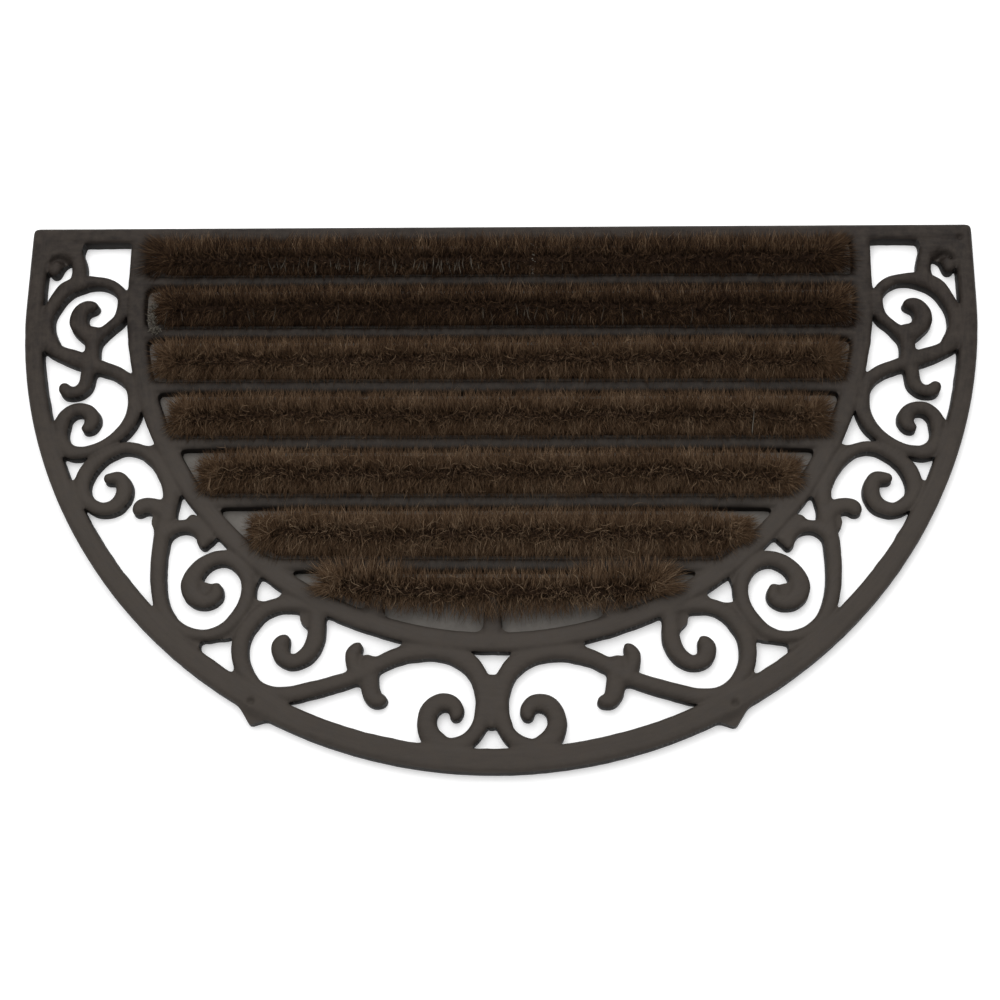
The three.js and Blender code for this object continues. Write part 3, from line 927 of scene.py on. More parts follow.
    def build(self) -> Piece:
        """Makes the frame's mesh and object: the top, then rings of points down the walls, then flat fills.

        Returns:
            The piece.
        """
        skin = ReliefSkin(self.relief())
        parts = MeshParts()
        parts.add(skin.points, split_quads(skin.quads))
        is_tray = self.is_in_tray(skin.points[:, 0], skin.points[:, 1])
        flash = self.flash + self.flash_wave.at(skin.points[:, 0], skin.points[:, 1])
        for levels, is_mine, is_up in ((self.open_wall, ~is_tray, False), (self.tray_wall, is_tray, True)):
            above = skin.edges[is_mine[skin.edges[:, 0]]]
            used, local = np.unique(above, return_inverse=True)
            local = local.reshape(above.shape)
            for level in levels:
                out = level.draft + level.flash * flash[used]
                ring = skin.points[used].copy()
                ring[:, :2] += skin.outward[used] * out[:, None]
                ring[:, 2] = level.z
                first = parts.add(ring)
                below = local + first
                parts.triangles.append(split_quads(np.column_stack([above[:, 0], below, above[:, 1]])))
                above = below
            filled, origin, flat = flat_fill(ring[:, :2], local)
            is_fresh = origin < 0
            fresh = np.column_stack([filled[is_fresh], np.full(is_fresh.sum(), levels[-1].z)])
            number = origin + first
            number[is_fresh] = parts.add(fresh) + np.arange(len(fresh))
            parts.triangles.append(number[flat if is_up else flat[:, ::-1]])
        piece = parts.object(self.name)
        piece.data.set_sharp_from_angle(angle=math.radians(self.crease_angle))
        return piece


# Coir brushes


@dataclass(frozen=True)
class Fibres:
    """Many tapered fibres with the same number of stations, from root to tip."""

    path: Map
    radius: Map
    tone: Map

    SIDES = 3
    TAPER = ((0.0, 0.3, 1.0), (0.8, 1.0, 0.8))
    TONE_STEP = 0.003

    def mesh(self, rng: np.random.Generator) -> MeshData:
        """Mesh of the fibres.

        A fibre has a ring of three points at each station but the last, and one point at its tip. A ring lies
        square to the path, on two directions found from a random third one.

        Args:
            rng: Source of the random directions.

        Returns:
            Points, triangles, and each point's (tone, share of the way along). The points of a ring differ a
            little in tone.
        """
        count, stations, _ = self.path.shape
        ahead = np.gradient(self.path, axis=1)[:, :-1]
        across = np.cross(ahead, rng.normal(size=(count, 1, 3)))
        across /= np.linalg.norm(across, axis=-1, keepdims=True)
        up = np.cross(across, ahead)
        up /= np.linalg.norm(up, axis=-1, keepdims=True)
        angles = (np.arange(self.SIDES) * 2 * np.pi / self.SIDES)[:, None]
        ring = np.cos(angles) * across[:, :, None] + np.sin(angles) * up[:, :, None]
        along = np.linspace(0.0, 1.0, stations)
        radius = self.radius[:, None] * np.interp(along[:-1], *self.TAPER)
        rings = self.path[:, :-1, None] + ring * radius[:, :, None, None]
        points = np.concatenate([rings.reshape(count, -1, 3), self.path[:, -1:]], axis=1)
        triangles = np.arange(count)[:, None, None] * points.shape[1] + self.one_fibre(stations)[None]
        tone = self.tone[:, None] + self.TONE_STEP * np.append(np.tile([0, 1, 2], stations - 1), 1)[None]
        height = np.broadcast_to(np.append(np.repeat(along[:-1], self.SIDES), 1.0), tone.shape)
        pattern = np.stack([tone, height], axis=-1)
        return points.reshape(-1, 3), triangles.reshape(-1, 3), pattern.reshape(-1, 2)

    def one_fibre(self, stations: int) -> Map:
        """Triangles of one fibre: one at its root, two for each side of each stretch, and three to its tip.

        Args:
            stations: Number of stations, with the tip.

        Returns:
            Rows of three of the fibre's point numbers.
        """
        sides = self.SIDES
        rows = [(0, 1, 2)]
        last = sides * (stations - 2)
        for k in range(sides):
            n = (k + 1) % sides
            for base in range(0, last, sides):
                above = base + sides
                rows += [(base + k, above + k, base + n), (base + n, above + k, above + n)]
            rows.append((last + k, last + sides, last + n))
        return np.array(rows)


@dataclass(frozen=True)
class Layer:
    """One layer of a brush: bent fibres that make its surface, or straight ones that thicken it underneath.

    density counts fibres for each square millimetre, shortest is their least length as a share of the
    longest, sink is how far tips lie under the crest, and lift raises the roots of the outermost. thickness
    and its range multiply the usual radius.
    """

    density: float
    shortest: float
    sink: float
    lift: float
    is_bent: bool
    thickness: float
    thickness_range: Span


@dataclass(frozen=True)
class Lint:
    """Pale lint caught in clumps along a bowed line across a row: short curls, each an arc of five points."""

    x: float
    y: float
    half_length: float
    count: int
    bow: float = 0.0
    width: float = 1.0
    longest: float = 2.0
    tones: Span = (0.9, 1.0)
    clumps: int = 12
    clump_width: float = 0.09
    middle_width: float = 0.6
    scatter: float = 0.8
    heights: Span = (14.0, 17.5)
    end_drop: float = 1.5
    steps: int = 4
    curl: float = 2.4
    length_range: Span = (0.4, 1.0)
    rise: Span = (0.2, 2.0)
    arch: float = 0.7
    thickness: Span = (0.6, 1.0)

    def fibres(self, row: "BrushRow", rng: np.random.Generator) -> Fibres:
        """Makes the curls: from each root, equal steps whose direction turns evenly.

        Args:
            row: The row that they lie in.
            rng: Source of the random places.

        Returns:
            The fibres.
        """
        count = self.count
        clumps = rng.uniform(-1.0, 1.0, self.clumps)
        along = np.clip(rng.choice(clumps, count) + rng.normal(0.0, self.clump_width, count), -1.0, 1.0)
        narrow = self.middle_width + (1.0 - self.middle_width) * along**2
        x = self.x + self.bow * along**2 + rng.normal(0.0, self.width, count) * narrow
        y = self.y + self.half_length * along + rng.normal(0.0, self.scatter, count)
        root = np.column_stack([x, y, rng.uniform(*self.heights, count) - self.end_drop * np.abs(along)])
        t = np.linspace(0.0, 1.0, self.steps + 1)[None]
        turn = rng.uniform(0.0, 2 * np.pi, (count, 1)) + rng.normal(0.0, self.curl, (count, 1)) * t
        step = rng.uniform(*self.length_range, (count, 1)) * self.longest / self.steps
        path = root[:, None] + np.stack([
            np.cumsum(step * np.cos(turn), axis=1),
            np.cumsum(step * np.sin(turn), axis=1),
            rng.uniform(*self.rise, (count, 1)) * t + self.arch * np.sin(np.pi * t),
        ], axis=-1)
        radius = row.fibre_radius * rng.uniform(*self.thickness, count)
        return Fibres(path, radius, rng.uniform(*self.tones, count))


@dataclass(frozen=True)
class Strands:
    """Paler wavy strands down a row's lower half, just above the rest, and perhaps a long one.

    middle_x and spread are the middle and spread of their places along the row, starts and ends are shares of
    the half depth, and long_one is (x, upper y, lower y).
    """

    count: int = 22
    middle_x: float = 0.0
    spread: float = 150.0
    tones: Span = (0.58, 0.8)
    long_one: Optional[Knot] = None
    starts: Span = (0.05, 0.6)
    ends: Span = (0.7, 1.15)
    thickness: Span = (0.7, 1.1)
    points: int = 6
    bend: float = 2.4
    wave: float = 0.7
    wave_rate: float = 6.0
    lift: float = 0.25
    long_thickness: float = 1.4
    long_tone: float = 0.94
    long_bend: float = 0.3

    def fibres(self, row: "BrushRow", rng: np.random.Generator) -> Fibres:
        """Makes the strands: each runs down the crest, and bends aside by a slope plus a sine.

        Args:
            row: The row that they lie in.
            rng: Source of the random places.

        Returns:
            The fibres.
        """
        count = self.count
        x = np.clip(rng.normal(self.middle_x, self.spread, count), -row.half_axis, row.half_axis)
        start, end = rng.uniform(*self.starts, count), rng.uniform(*self.ends, count)
        width, tone = rng.uniform(*self.thickness, count), rng.uniform(*self.tones, count)
        if self.long_one is not None:
            long_x, upper_y, lower_y = self.long_one
            at = np.array([long_x])
            parting_y, depth_there = row.axis(at)[0][0], row.reach(at, -np.ones(1))[0]
            x, tone = np.append(x, long_x), np.append(tone, self.long_tone)
            width = np.append(width, self.long_thickness)
            start = np.append(start, (parting_y - upper_y) / depth_there)
            end = np.append(end, (parting_y - lower_y) / depth_there)
        total = len(x)
        centre_y, depth = row.axis(x)[0], row.reach(x, -np.ones(total))
        share = start[:, None] + (end - start)[:, None] * np.linspace(0.0, 1.0, self.points)
        phase = rng.uniform(0.0, 2 * np.pi, (total, 1))
        bend = rng.normal(0.0, self.bend, (total, 1))
        aside = bend * (share - start[:, None]) + self.wave * np.sin(self.wave_rate * share + phase)
        aside[count:] *= self.long_bend
        height = row.crest(np.abs(share), np.broadcast_to(x[:, None], share.shape)) + self.lift
        path = np.stack([x[:, None] + aside, centre_y[:, None] - share * depth[:, None], height], axis=-1)
        return Fibres(path, row.fibre_radius * width, tone)


@dataclass(frozen=True)
class Strays:
    """Loose, curled fibres that lie across the parting, a little above the rest, and are paler.

    density counts them for each square millimetre, scatter spreads them from the parting as a share of the
    half depth, and bend and wave are shares of their length.
    """

    density: float = 0.011
    longest: float = 12.0
    shortest: float = 4.0
    end_margin: float = 10.0
    scatter: float = 0.4
    points: int = 6
    bend: float = 0.16
    wave: float = 0.05
    wave_rate: float = 3.0
    lift: Span = (-0.4, 0.9)
    sink: Span = (0.6, 2.4)
    tones: Span = (0.38, 0.68)
    straw_share: float = 1.4
    thickness: Span = (0.5, 0.88)

    def fibres(self, row: "BrushRow", rng: np.random.Generator) -> Fibres:
        """Makes the strays: shallow arcs with a small wave, level in the middle and sinking at both ends.

        Args:
            row: The row that they lie on.
            rng: Source of the random places.

        Returns:
            The fibres.
        """
        plan = row.plan
        count = int(self.density * row.area)
        half = plan.half_length - self.end_margin
        x = rng.uniform(-half, half, count)
        centre_y, depth = row.axis(x)
        y = centre_y + rng.normal(0.0, self.scatter, count) * depth
        turn = rng.uniform(0.0, 2 * np.pi, count)[:, None]
        length = rng.uniform(self.shortest, self.longest, count)[:, None]
        t = np.linspace(-1.0, 1.0, self.points)[None]
        phase = rng.uniform(0.0, 2 * np.pi, count)[:, None]
        arc = rng.normal(0.0, self.bend, (count, 1)) * (1.0 - t**2)
        aside = length * (arc + self.wave * np.sin(self.wave_rate * t + phase))
        ahead = 0.5 * length * t
        share = np.clip(np.abs(y - centre_y) / depth, 0.0, 0.9)
        top = (row.crest(share, x) + rng.uniform(*self.lift, count))[:, None]
        path = np.stack([
            x[:, None] + ahead * np.cos(turn) - aside * np.sin(turn),
            y[:, None] + ahead * np.sin(turn) + aside * np.cos(turn),
            top - t**2 * rng.uniform(*self.sink, (count, 1)),
        ], axis=-1)
        # The row's painted shade darkens the strays as well.
        tone = rng.uniform(*self.tones, count) + self.straw_share * plan.straw - plan.fade
        radius = row.fibre_radius * rng.uniform(*self.thickness, count)
        return Fibres(path, radius, np.clip(tone, *row.tone_range))


@dataclass(frozen=True)
class Skirt:
    """Fibres that fill a row's flanks in the tray, from the axis to the tray's walls under their tops."""

    density: float = 0.1
    end_share: float = 0.12
    lower_share: float = 0.68
    end_roots: Span = (-4.0, 1.5)
    roundness: float = 0.5
    clearance: float = 0.5
    length_range: Span = (0.90, 1.0)
    scatter: float = 3.0
    heights: Span = (7.5, 14.0)
    root_offset: Span = (0.0, 3.0)
    root_lift: float = 1.0
    thickness: float = 1.4
    thickness_range: Span = (0.8, 1.3)
    # shade is painted shade: the skirt lies under the other fibres, so its tone is lowered.
    shade: float = 0.06

    def fibres(self, row: "BrushRow", rng: np.random.Generator) -> Fibres:
        """Makes the skirt. At the ends, tips follow the sine and cosine of a turn, to the power of roundness.

        Args:
            row: The row that it is of.
            rng: Source of the random places.

        Returns:
            The fibres.
        """
        count = int(self.density * row.area)
        is_end = rng.random(count) < self.end_share
        end = np.sign(rng.random(count) - 0.5)
        at_end = end * (row.half_axis + rng.uniform(*self.end_roots, count))
        axis_x = np.where(is_end, at_end, rng.uniform(-row.half_axis, row.half_axis, count))
        side = np.where(rng.random(count) < self.lower_share, -1.0, 1.0)
        turn = rng.uniform(0.0, 0.5 * np.pi, count)
        centre_y = row.axis(axis_x)[0]
        reach = (row.reach(axis_x, side) - self.clearance) * rng.uniform(*self.length_range, count)
        onward = end * np.sin(turn) ** self.roundness * row.end_reach
        tip_x = axis_x + np.where(is_end, onward, rng.normal(0.0, self.scatter, count))
        tip_y = centre_y + side * reach * np.where(is_end, np.cos(turn) ** self.roundness, 1.0)
        tip = np.column_stack([tip_x, tip_y, rng.uniform(*self.heights, count)])
        root_y = centre_y + side * rng.uniform(*self.root_offset, count)
        root = np.column_stack([axis_x, root_y, np.full(count, row.axis_height + self.root_lift)])
        radius = self.thickness * row.fibre_radius * rng.uniform(*self.thickness_range, count)
        # Painted shade: the skirt's fibres are darker than the fibres over them.
        tone = row.tone(tip_x, tip_y, side, np.ones(count), rng) - self.shade
        return Fibres(np.stack([root, tip], axis=1), radius, np.clip(tone, *row.tone_range))


@dataclass(frozen=True)
class RowPlan:
    """Plan of one brush row: its straight edges, its cut upper corners, and how far the coir leans over.

    straw lightens the row's tone, contrast is how far fibres differ, fade is painted shade that
    darkens it from the upper edge to the parting and below, and its strays throughout, shift moves the coir
    along the row, bow bends the parting forward about the middle, and droop is how much further the coir hangs
    forward there.
    """

    number: int
    cut_x: float
    cut_y: float
    lean_up: float = 4.2
    lean_down: float = 7.0
    over_end: float = 4.5
    teeth: float = 0.4
    straw: float = 0.0
    contrast: float = 0.55
    # fade: painted shade, strongest at the parting and on the lower side.
    fade: float = 0.0
    shift: float = 0.0
    bow: float = 0.0
    droop: float = 0.0
    strays: Strays = Strays()
    strands: Strands = Strands()
    lint: Optional[Lint] = None
    lower_y: Optional[float] = None
    tuft_x: Optional[float] = None
    tuft_half_width: float = 42.0
    end_gap: float = 2.5
    end_depth: float = 4.0
    end_power: float = 4.0

    @property
    def upper(self) -> float:
        """Y of the upper edge.

        Returns:
            That of the rail, or of the bar behind.
        """
        if self.number == 1:
            return PLAN.tray_back_y
        return PLAN.bar_lines_y[self.number - 2] - PLAN.bar_width / 2

    @property
    def lower(self) -> float:
        """Y of the lower edge.

        Returns:
            The one that is given, or that of the bar in front.
        """
        if self.lower_y is not None:
            return self.lower_y
        return PLAN.bar_lines_y[self.number - 1] + PLAN.bar_width / 2

    @property
    def lowest_end(self) -> float:
        """Y of the lower corner of each end."""
        return self.upper - self.cut_y - self.end_depth

    @property
    def end_radius(self) -> float:
        """Radius of the arc that the row's ends follow."""
        return PLAN.inner_rim_radius - PLAN.inner_rim_width / 2 - self.end_gap

    @property
    def half_length(self) -> float:
        """Half the row's length, where its cut upper corner meets the tray's curved end."""
        drop = max(0.0, PLAN.inner_rim_centre_y - self.lowest_end)
        return math.sqrt(self.end_radius**2 - drop**2)

    def edges(self, x: Map) -> Tuple[Map, Map]:
        """The row's edges: straight, with the upper corners cut and the lower ones on the tray's curved end.

        Args:
            x: Places along the row.

        Returns:
            Y of the lower and of the upper edge there.
        """
        from_end = self.half_length - np.abs(x)
        upper = self.upper - self.cut_y * np.clip(1.0 - from_end / self.cut_x, 0.0, 1.0)
        arc = PLAN.inner_rim_centre_y - np.sqrt(np.maximum(self.end_radius**2 - x**2, 0.0))
        return np.maximum(self.lower, np.minimum(arc, self.lowest_end)), upper

    def bunch(self, x: Map) -> Map:
        """Share of the row's tall tuft on either side: 1 at the tuft's centre, falling by a parabola.

        Args:
            x: Places along the row.

        Returns:
            The share there, or 0 in a row without tufts.
        """
        if self.tuft_x is None:
            return np.zeros_like(x)
        return np.clip(1.0 - ((np.abs(x) - self.tuft_x) / self.tuft_half_width) ** 2, 0.0, 1.0)


@dataclass(frozen=True)
class Core:
    """Dark core under the fibres: a closed body along the row, with a section of (across, up) shares."""

    inset: float = 4.0
    pitch: float = 4.0
    top: float = 10.5
    clearance: float = 0.1
    end: float = 12.0
    least: float = 0.15
    section: Tuple[Span, ...] = (
        (-0.9, 0.0), (-1.0, 0.4), (-0.85, 0.7), (-0.35, 1.0),
        (0.35, 1.0), (0.85, 0.7), (1.0, 0.4), (0.9, 0.0))
    # pattern sets the core at a dark tone and part of the painted root shade, as painted shade deep in the
    # brush.
    pattern: Span = (0.12, 0.3)

    def mesh(self, plan: RowPlan) -> MeshData:
        """Mesh of the core: rings that follow the row's edges, and a fan of triangles that closes each end.

        Towards both ends the rings are drawn in by a quarter circle, to the least share.

        Args:
            plan: Plan of the row.

        Returns:
            Points, triangles and each point's pattern coordinates.
        """
        half = plan.half_length - self.inset
        x = np.linspace(-half, half, int(half / self.pitch))
        lower, upper = plan.edges(x)
        centre, depth = (lower + upper) / 2, (upper - lower) / 2 - self.inset
        ends = np.clip((half - np.abs(x)) / self.end, 0.0, 1.0)
        full = np.sqrt(1.0 - (1.0 - ends) ** 2) * (1.0 - self.least) + self.least
        across, up = np.array(self.section).T
        sides = len(across)
        floor = PLAN.tray_floor + self.clearance
        points = np.stack([
            np.broadcast_to(x[:, None], (len(x), sides)),
            centre[:, None] + across[None] * (depth * full)[:, None],
            floor + up[None] * ((self.top - floor) * full)[:, None],
        ], axis=-1).reshape(-1, 3)
        ring = np.arange(len(x) - 1)[:, None] * sides
        k = np.arange(sides)[None]
        n = (k + 1) % sides
        quads = np.stack([ring + k, ring + k + sides, ring + n + sides, ring + n], axis=-1).reshape(-1, 4)
        first = np.arange(1, sides - 1)
        fan = np.column_stack([np.zeros(sides - 2, int), first, first + 1])
        triangles = np.vstack([split_quads(quads), fan, fan[:, ::-1] + sides * (len(x) - 1)])
        return points, triangles, np.tile(self.pattern, (len(points), 1))


@dataclass(frozen=True)
class BrushRow:
    """One coir brush: fibres that fan out from an axis low in the tray, round a dark core.

    own_tone are the two powers of the beta law that each fibre's own tone is drawn by. The pairs
    flank_painted_light, painted light that evens the two flanks, and tuft_pulls are for the upper and the
    lower side. The pairs of scatter are along the row, and then across it or, at the root, up. bend_rise is
    the bend at the parting, and how much more it is at the edge.
    """

    plan: RowPlan
    layers: Tuple[Layer, ...] = (
        Layer(0.36, 0.82, 1.0, 0.0, True, 1.0, (0.7, 1.3)),
        Layer(0.56, 0.6, 1.5, 2.0, False, 1.35, (0.8, 1.3)),
    )
    skirt: Skirt = Skirt()
    core: Core = Core()
    fibre_radius: float = 0.25
    longest_share: float = 1.04
    axis_height: float = 7.0
    root_scatter: Span = (1.0, 0.8)
    root_offset: Span = (-1.0, 4.0)
    end_reach: float = 17.0
    end_crowding: float = 1.3
    end_roots: Span = (-5.0, 2.0)
    splay: float = 0.24
    looseness: float = 4.0
    loose_scatter: Span = (1.0, 0.8)
    bend_scatter: Span = (1.3, 0.8)
    bend_rise: Span = (0.8, 2.6)
    bend_at: Span = (0.5, 0.65)
    droop_reach: float = 75.0
    droop_sag: float = 0.3
    tuft_lean: float = 13.5
    tuft_rise: float = 2.2
    tuft_pitch: float = 5.5
    tuft_pulls: Span = (1.0, 0.6)
    tuft_wave: PlaneNoise = PlaneNoise(60.0, 3, 2.0)
    tuft_wave_side: float = 40.0
    crest_wave: PlaneNoise = PlaneNoise(38.0, 1, 0.6)
    crest_wave_side: float = 30.0
    parting_dip: float = 0.7
    shoulder: float = 0.4
    shoulder_fall: float = 4.8
    parting_waves: Tuple[PlaneNoise, ...] = (PlaneNoise(45.0, 2, 1.6), PlaneNoise(13.0, 7, 0.9))
    fine_streaks: PlaneNoise = PlaneNoise(1.6, 4, 0.12)
    fine_streak_length: float = 6.0
    fine_streak_side: float = 9.0
    broad_streaks: PlaneNoise = PlaneNoise(15.0, 5, 0.08)
    own_tone: Span = (2.0, 3.0)
    middle_tone: float = 0.34
    tone_range: Span = (0.03, 0.8)
    # Painted shade round the parting, where one sees deep into the brush.
    painted_parting_shade: float = 0.03
    parting_width: float = 0.3
    # Painted light: tone lifts for the upper and the lower flank, the lower one more as it gets less light.
    flank_painted_light: Span = (0.02, 0.05)
    first_seed: int = 500

    @property
    def name(self) -> str:
        """Name of the piece."""
        return f"coir_brush_{self.plan.number}"

    @property
    def node(self) -> str:
        """Name of the node that the piece stands for."""
        return f"brush_row_{self.plan.number}"

    @property
    def half_axis(self) -> float:
        """Half the length of the axis that the fibres grow from."""
        return self.plan.half_length - self.end_reach

    @property
    def area(self) -> float:
        """Area of the row in plan."""
        return 4 * self.plan.half_length * self.axis(np.zeros(1))[1][0]

    def drift(self, noise: PlaneNoise, x: Map, y: Map) -> Map:
        """Noise of this row alone, with a seed made from the noise's own and the row's number."""
        return replace(noise, seed=1000 * noise.seed + self.plan.number).at(x, y)

    def crest(self, out: Map, x: Map) -> Map:
        """Height of the brush: a dip at the parting that ends at the shoulder, and a square fall past it.

        Args:
            out: Shares of the half depth, from the parting.
            x: Places along the row.

        Returns:
            The height there.
        """
        dip = self.parting_dip * np.clip(1.0 - out / self.shoulder, 0.0, 1.0)
        fall = self.shoulder_fall * np.clip((out - self.shoulder) / (1.0 - self.shoulder), 0.0, 1.0) ** 2
        wave = self.drift(self.crest_wave, x, out * self.crest_wave_side)
        return PLAN.brush_top - dip - fall + wave + self.tuft_rise * self.plan.bunch(x)

    def axis(self, x: Map) -> Tuple[Map, Map]:
        """The parting: midway between the row's edges, with waves, and bowed by a parabola.

        Args:
            x: Places along the row.

        Returns:
            Y of the parting and half the row's depth there.
        """
        lower, upper = self.plan.edges(x)
        bow = self.plan.bow * np.clip(1.0 - (x / self.plan.half_length) ** 2, 0.0, 1.0)
        wave = sum(self.drift(noise, x, 0.0 * x) for noise in self.parting_waves)
        return (lower + upper) / 2 + wave - bow, (upper - lower) / 2

    def reach(self, x: Map, side: Map) -> Map:
        """Distance from the parting to the row's edge on one side.

        Args:
            x: Places along the row.
            side: The side of the parting at each, 1 for the upper and -1 for the lower.

        Returns:
            The distances.
        """
        lower, upper = self.plan.edges(x)
        centre_y = self.axis(x)[0]
        return np.where(side > 0, upper - centre_y, centre_y - lower)

    def tufted(self, x: Map, share: Map, side: Map) -> Map:
        """Draws tips together into tufts: each moves by a sine towards its tuft's middle, more at the edges.

        Args:
            x: Places of the tips along the row.
            share: How far out each reaches.
            side: The side of the parting that each is on.

        Returns:
            The new places.
        """
        wave = self.drift(self.tuft_wave, x, side * self.tuft_wave_side)
        phase = 2 * np.pi * x / self.tuft_pitch + wave
        pull = self.plan.teeth * np.where(side > 0, *self.tuft_pulls) * share**2
        return x - pull * self.tuft_pitch / (2 * np.pi) * np.sin(phase)

    def tone(self, x: Map, y: Map, side: Map, share: Map, rng: np.random.Generator) -> Map:
        """Tone of fibres from their place: painted shade at the parting, and streaked in bunches.

        It is the middle tone, plus the contrast times each fibre's own draw about its mean, streaks and the
        flank's painted light, less a bell curve of painted shade round the parting and the row's painted
        shade.

        Args:
            x: Places of the tips along the row.
            y: Places of the tips across it.
            side: The side of the parting that each is on.
            share: How far out each reaches.
            rng: Source of each fibre's own tone.

        Returns:
            The tones.
        """
        own = rng.beta(*self.own_tone, len(x)) - self.own_tone[0] / sum(self.own_tone)
        at = side * self.fine_streak_side + y / self.fine_streak_length
        streak = self.drift(self.fine_streaks, x, at) + self.drift(self.broad_streaks, x, y)
        # Painted shade: a bell curve of darkening round the parting.
        parting = self.painted_parting_shade * np.exp(-((share / self.parting_width) ** 2))
        # Painted light: each flank gets its own lift, the lower one more, as it gets less light.
        flank = np.where(side > 0, *self.flank_painted_light) + self.plan.straw
        # The row's painted shade: from none at the upper edge to full at the parting and below.
        fade = self.plan.fade * np.where(side > 0, 1.0 - np.clip(share, 0.0, 1.0), 1.0)
        tone = self.middle_tone + self.plan.contrast * own + streak + flank - parting - fade
        return np.clip(tone, *self.tone_range)

    def spray(self, rng: np.random.Generator, count: int, layer: Layer) -> Tuple[Map, Map, Map, Map]:
        """Roots and tips of fibres that lean away from the parting.

        Along the row they lean up and down the mat, by a share of the half depth that is the sine of an
        evenly spread angle. At both ends they turn round the axis's end like the end of a bottle brush,
        evenly along two sides of a square, whose corner is rounded by dividing by
        (across^n + onward^n)^(1/n). Near the parting they also lean at random.

        Args:
            rng: Source of the random places.
            count: Number of fibres.
            layer: The layer that they are of.

        Returns:
            Roots, tips, the side of the parting that each is on, and how far out it reaches.
        """
        plan = self.plan
        end_share = self.end_crowding * (self.end_reach + plan.over_end) / (plan.half_length + plan.over_end)
        is_end = rng.random(count) < end_share
        end = np.sign(rng.random(count) - 0.5)
        along = rng.uniform(-self.half_axis, self.half_axis, count)
        at_end = end * (self.half_axis + rng.uniform(*self.end_roots, count))
        axis_x = np.where(is_end, at_end, along) + plan.shift
        side = np.sign(rng.random(count) - 0.5)
        lean = np.sin(0.5 * np.pi * rng.random(count))
        share = lean * rng.uniform(layer.shortest, self.longest_share, count)
        around = 2.0 * rng.random(count)
        across, onward = np.minimum(around, 1.0), np.minimum(2.0 - around, 1.0)
        corner = (across**plan.end_power + onward**plan.end_power) ** (1.0 / plan.end_power)
        centre_y = self.axis(axis_x)[0]
        hang = np.exp(-((axis_x / self.droop_reach) ** 2))
        lean_up = plan.lean_up + self.tuft_lean * plan.bunch(axis_x)
        depth = self.reach(axis_x, side) + np.where(side > 0, lean_up, plan.lean_down + plan.droop * hang)
        loose = self.looseness * np.clip(1.0 - share, 0.0, 1.0) ** 2
        ahead = share * depth * np.tan(rng.normal(0.0, self.splay, count))
        aside = end * share * (self.end_reach + plan.over_end) * onward / corner
        tip_x = axis_x + np.where(is_end, aside, ahead)
        tip_x = np.where(is_end, tip_x, self.tufted(tip_x, share, side))
        tip_x = tip_x + loose * rng.normal(0.0, self.loose_scatter[0], count)
        tip_y = centre_y + side * share * depth * np.where(is_end, across / corner, 1.0)
        tip_y += loose * rng.normal(0.0, self.loose_scatter[1], count)
        sag = self.droop_sag * plan.droop * hang * np.where(side < 0, share**6, 0.0)
        tip_z = self.crest(share, axis_x) - np.abs(rng.normal(0.0, layer.sink, count)) - sag
        root = np.column_stack([
            axis_x + rng.normal(0.0, self.root_scatter[0], count),
            centre_y + side * rng.uniform(*self.root_offset, count),
            self.axis_height + rng.normal(0.0, self.root_scatter[1], count),
        ])
        return root, np.column_stack([tip_x, tip_y, tip_z]), side, share

    def fibres(self, layer: Layer, rng: np.random.Generator) -> Fibres:
        """Makes one layer. A bent fibre also passes through a point off the line from its root to its tip.

        Args:
            layer: The layer.
            rng: Source of the random places.

        Returns:
            The fibres.
        """
        count = int(layer.density * self.area)
        root, tip, side, share = self.spray(rng, count, layer)
        root[:, 2] += layer.lift * share
        stations = [root, tip]
        if layer.is_bent:
            aside = [rng.normal(0.0, scatter, count) for scatter in self.bend_scatter]
            bend = np.column_stack([*aside, self.bend_rise[0] + self.bend_rise[1] * share])
            stations.insert(1, root + (tip - root) * rng.uniform(*self.bend_at, count)[:, None] + bend)
        radius = layer.thickness * self.fibre_radius * rng.uniform(*layer.thickness_range, count)
        return Fibres(np.stack(stations, axis=1), radius, self.tone(tip[:, 0], tip[:, 1], side, share, rng))

    def build(self) -> Piece:
        """Makes the brush's mesh and object: the core, and then each set of fibres.

        Returns:
            The piece.
        """
        rng = np.random.default_rng(self.first_seed + self.plan.number)
        sets = [self.fibres(layer, rng) for layer in self.layers]
        for extra in (self.skirt, self.plan.strays, self.plan.strands, self.plan.lint):
            if extra is not None:
                sets.append(extra.fibres(self, rng))
        parts = MeshParts()
        parts.add(*self.core.mesh(self.plan))
        for fibres in sets:
            parts.add(*fibres.mesh(rng))
        return parts.object(self.name)


ROWS = (
    RowPlan(
        1, 8, 3, lean_up=9.5, lean_down=7.4, over_end=14.5, teeth=0.25, straw=-0.04, contrast=0.85, fade=0.16,
        shift=-2.2, strands=Strands(60, -100.0, 60.0, (0.86, 0.905)),
        lint=Lint(28.0, 190.0, 15.0, 26, width=1.5, longest=1.8, tones=(0.95, 1.0))),
    RowPlan(
        2, 6, 3, lean_up=4.6, over_end=7.5, teeth=0.25, straw=-0.04, contrast=0.85, fade=0.18, shift=3.5,
        strands=Strands(24, -20.0, 150.0, (0.86, 0.885)),
        lint=Lint(-272.5, 142.0, 14.0, 460, bow=3.5, width=1.5, longest=3.4, tones=(0.87, 0.96))),
    RowPlan(3, 14, 4, over_end=6.0, teeth=0.3, straw=0.03, shift=1.0),
    RowPlan(4, 26, 7, straw=0.04, shift=2.0, strands=Strands(long_one=(198.0, 60.0, 38.0))),
    RowPlan(5, 34, 10, end_power=3.0, teeth=0.8, straw=0.06, shift=3.0, strays=Strays(0.016, 14.0)),
    RowPlan(6, 38, 12, end_power=3.0, teeth=0.8, straw=0.09, shift=5.0, strays=Strays(0.018, 15.0)),
    RowPlan(
        7, 16, 6, lean_up=5.0, lean_down=6.0, over_end=14.0, end_power=2.2, teeth=0.7, straw=0.11, shift=1.8,
        bow=4.0, droop=13.5, strays=Strays(0.016, 14.0), lower_y=-94.0, tuft_x=97.0),
)


# Finishes


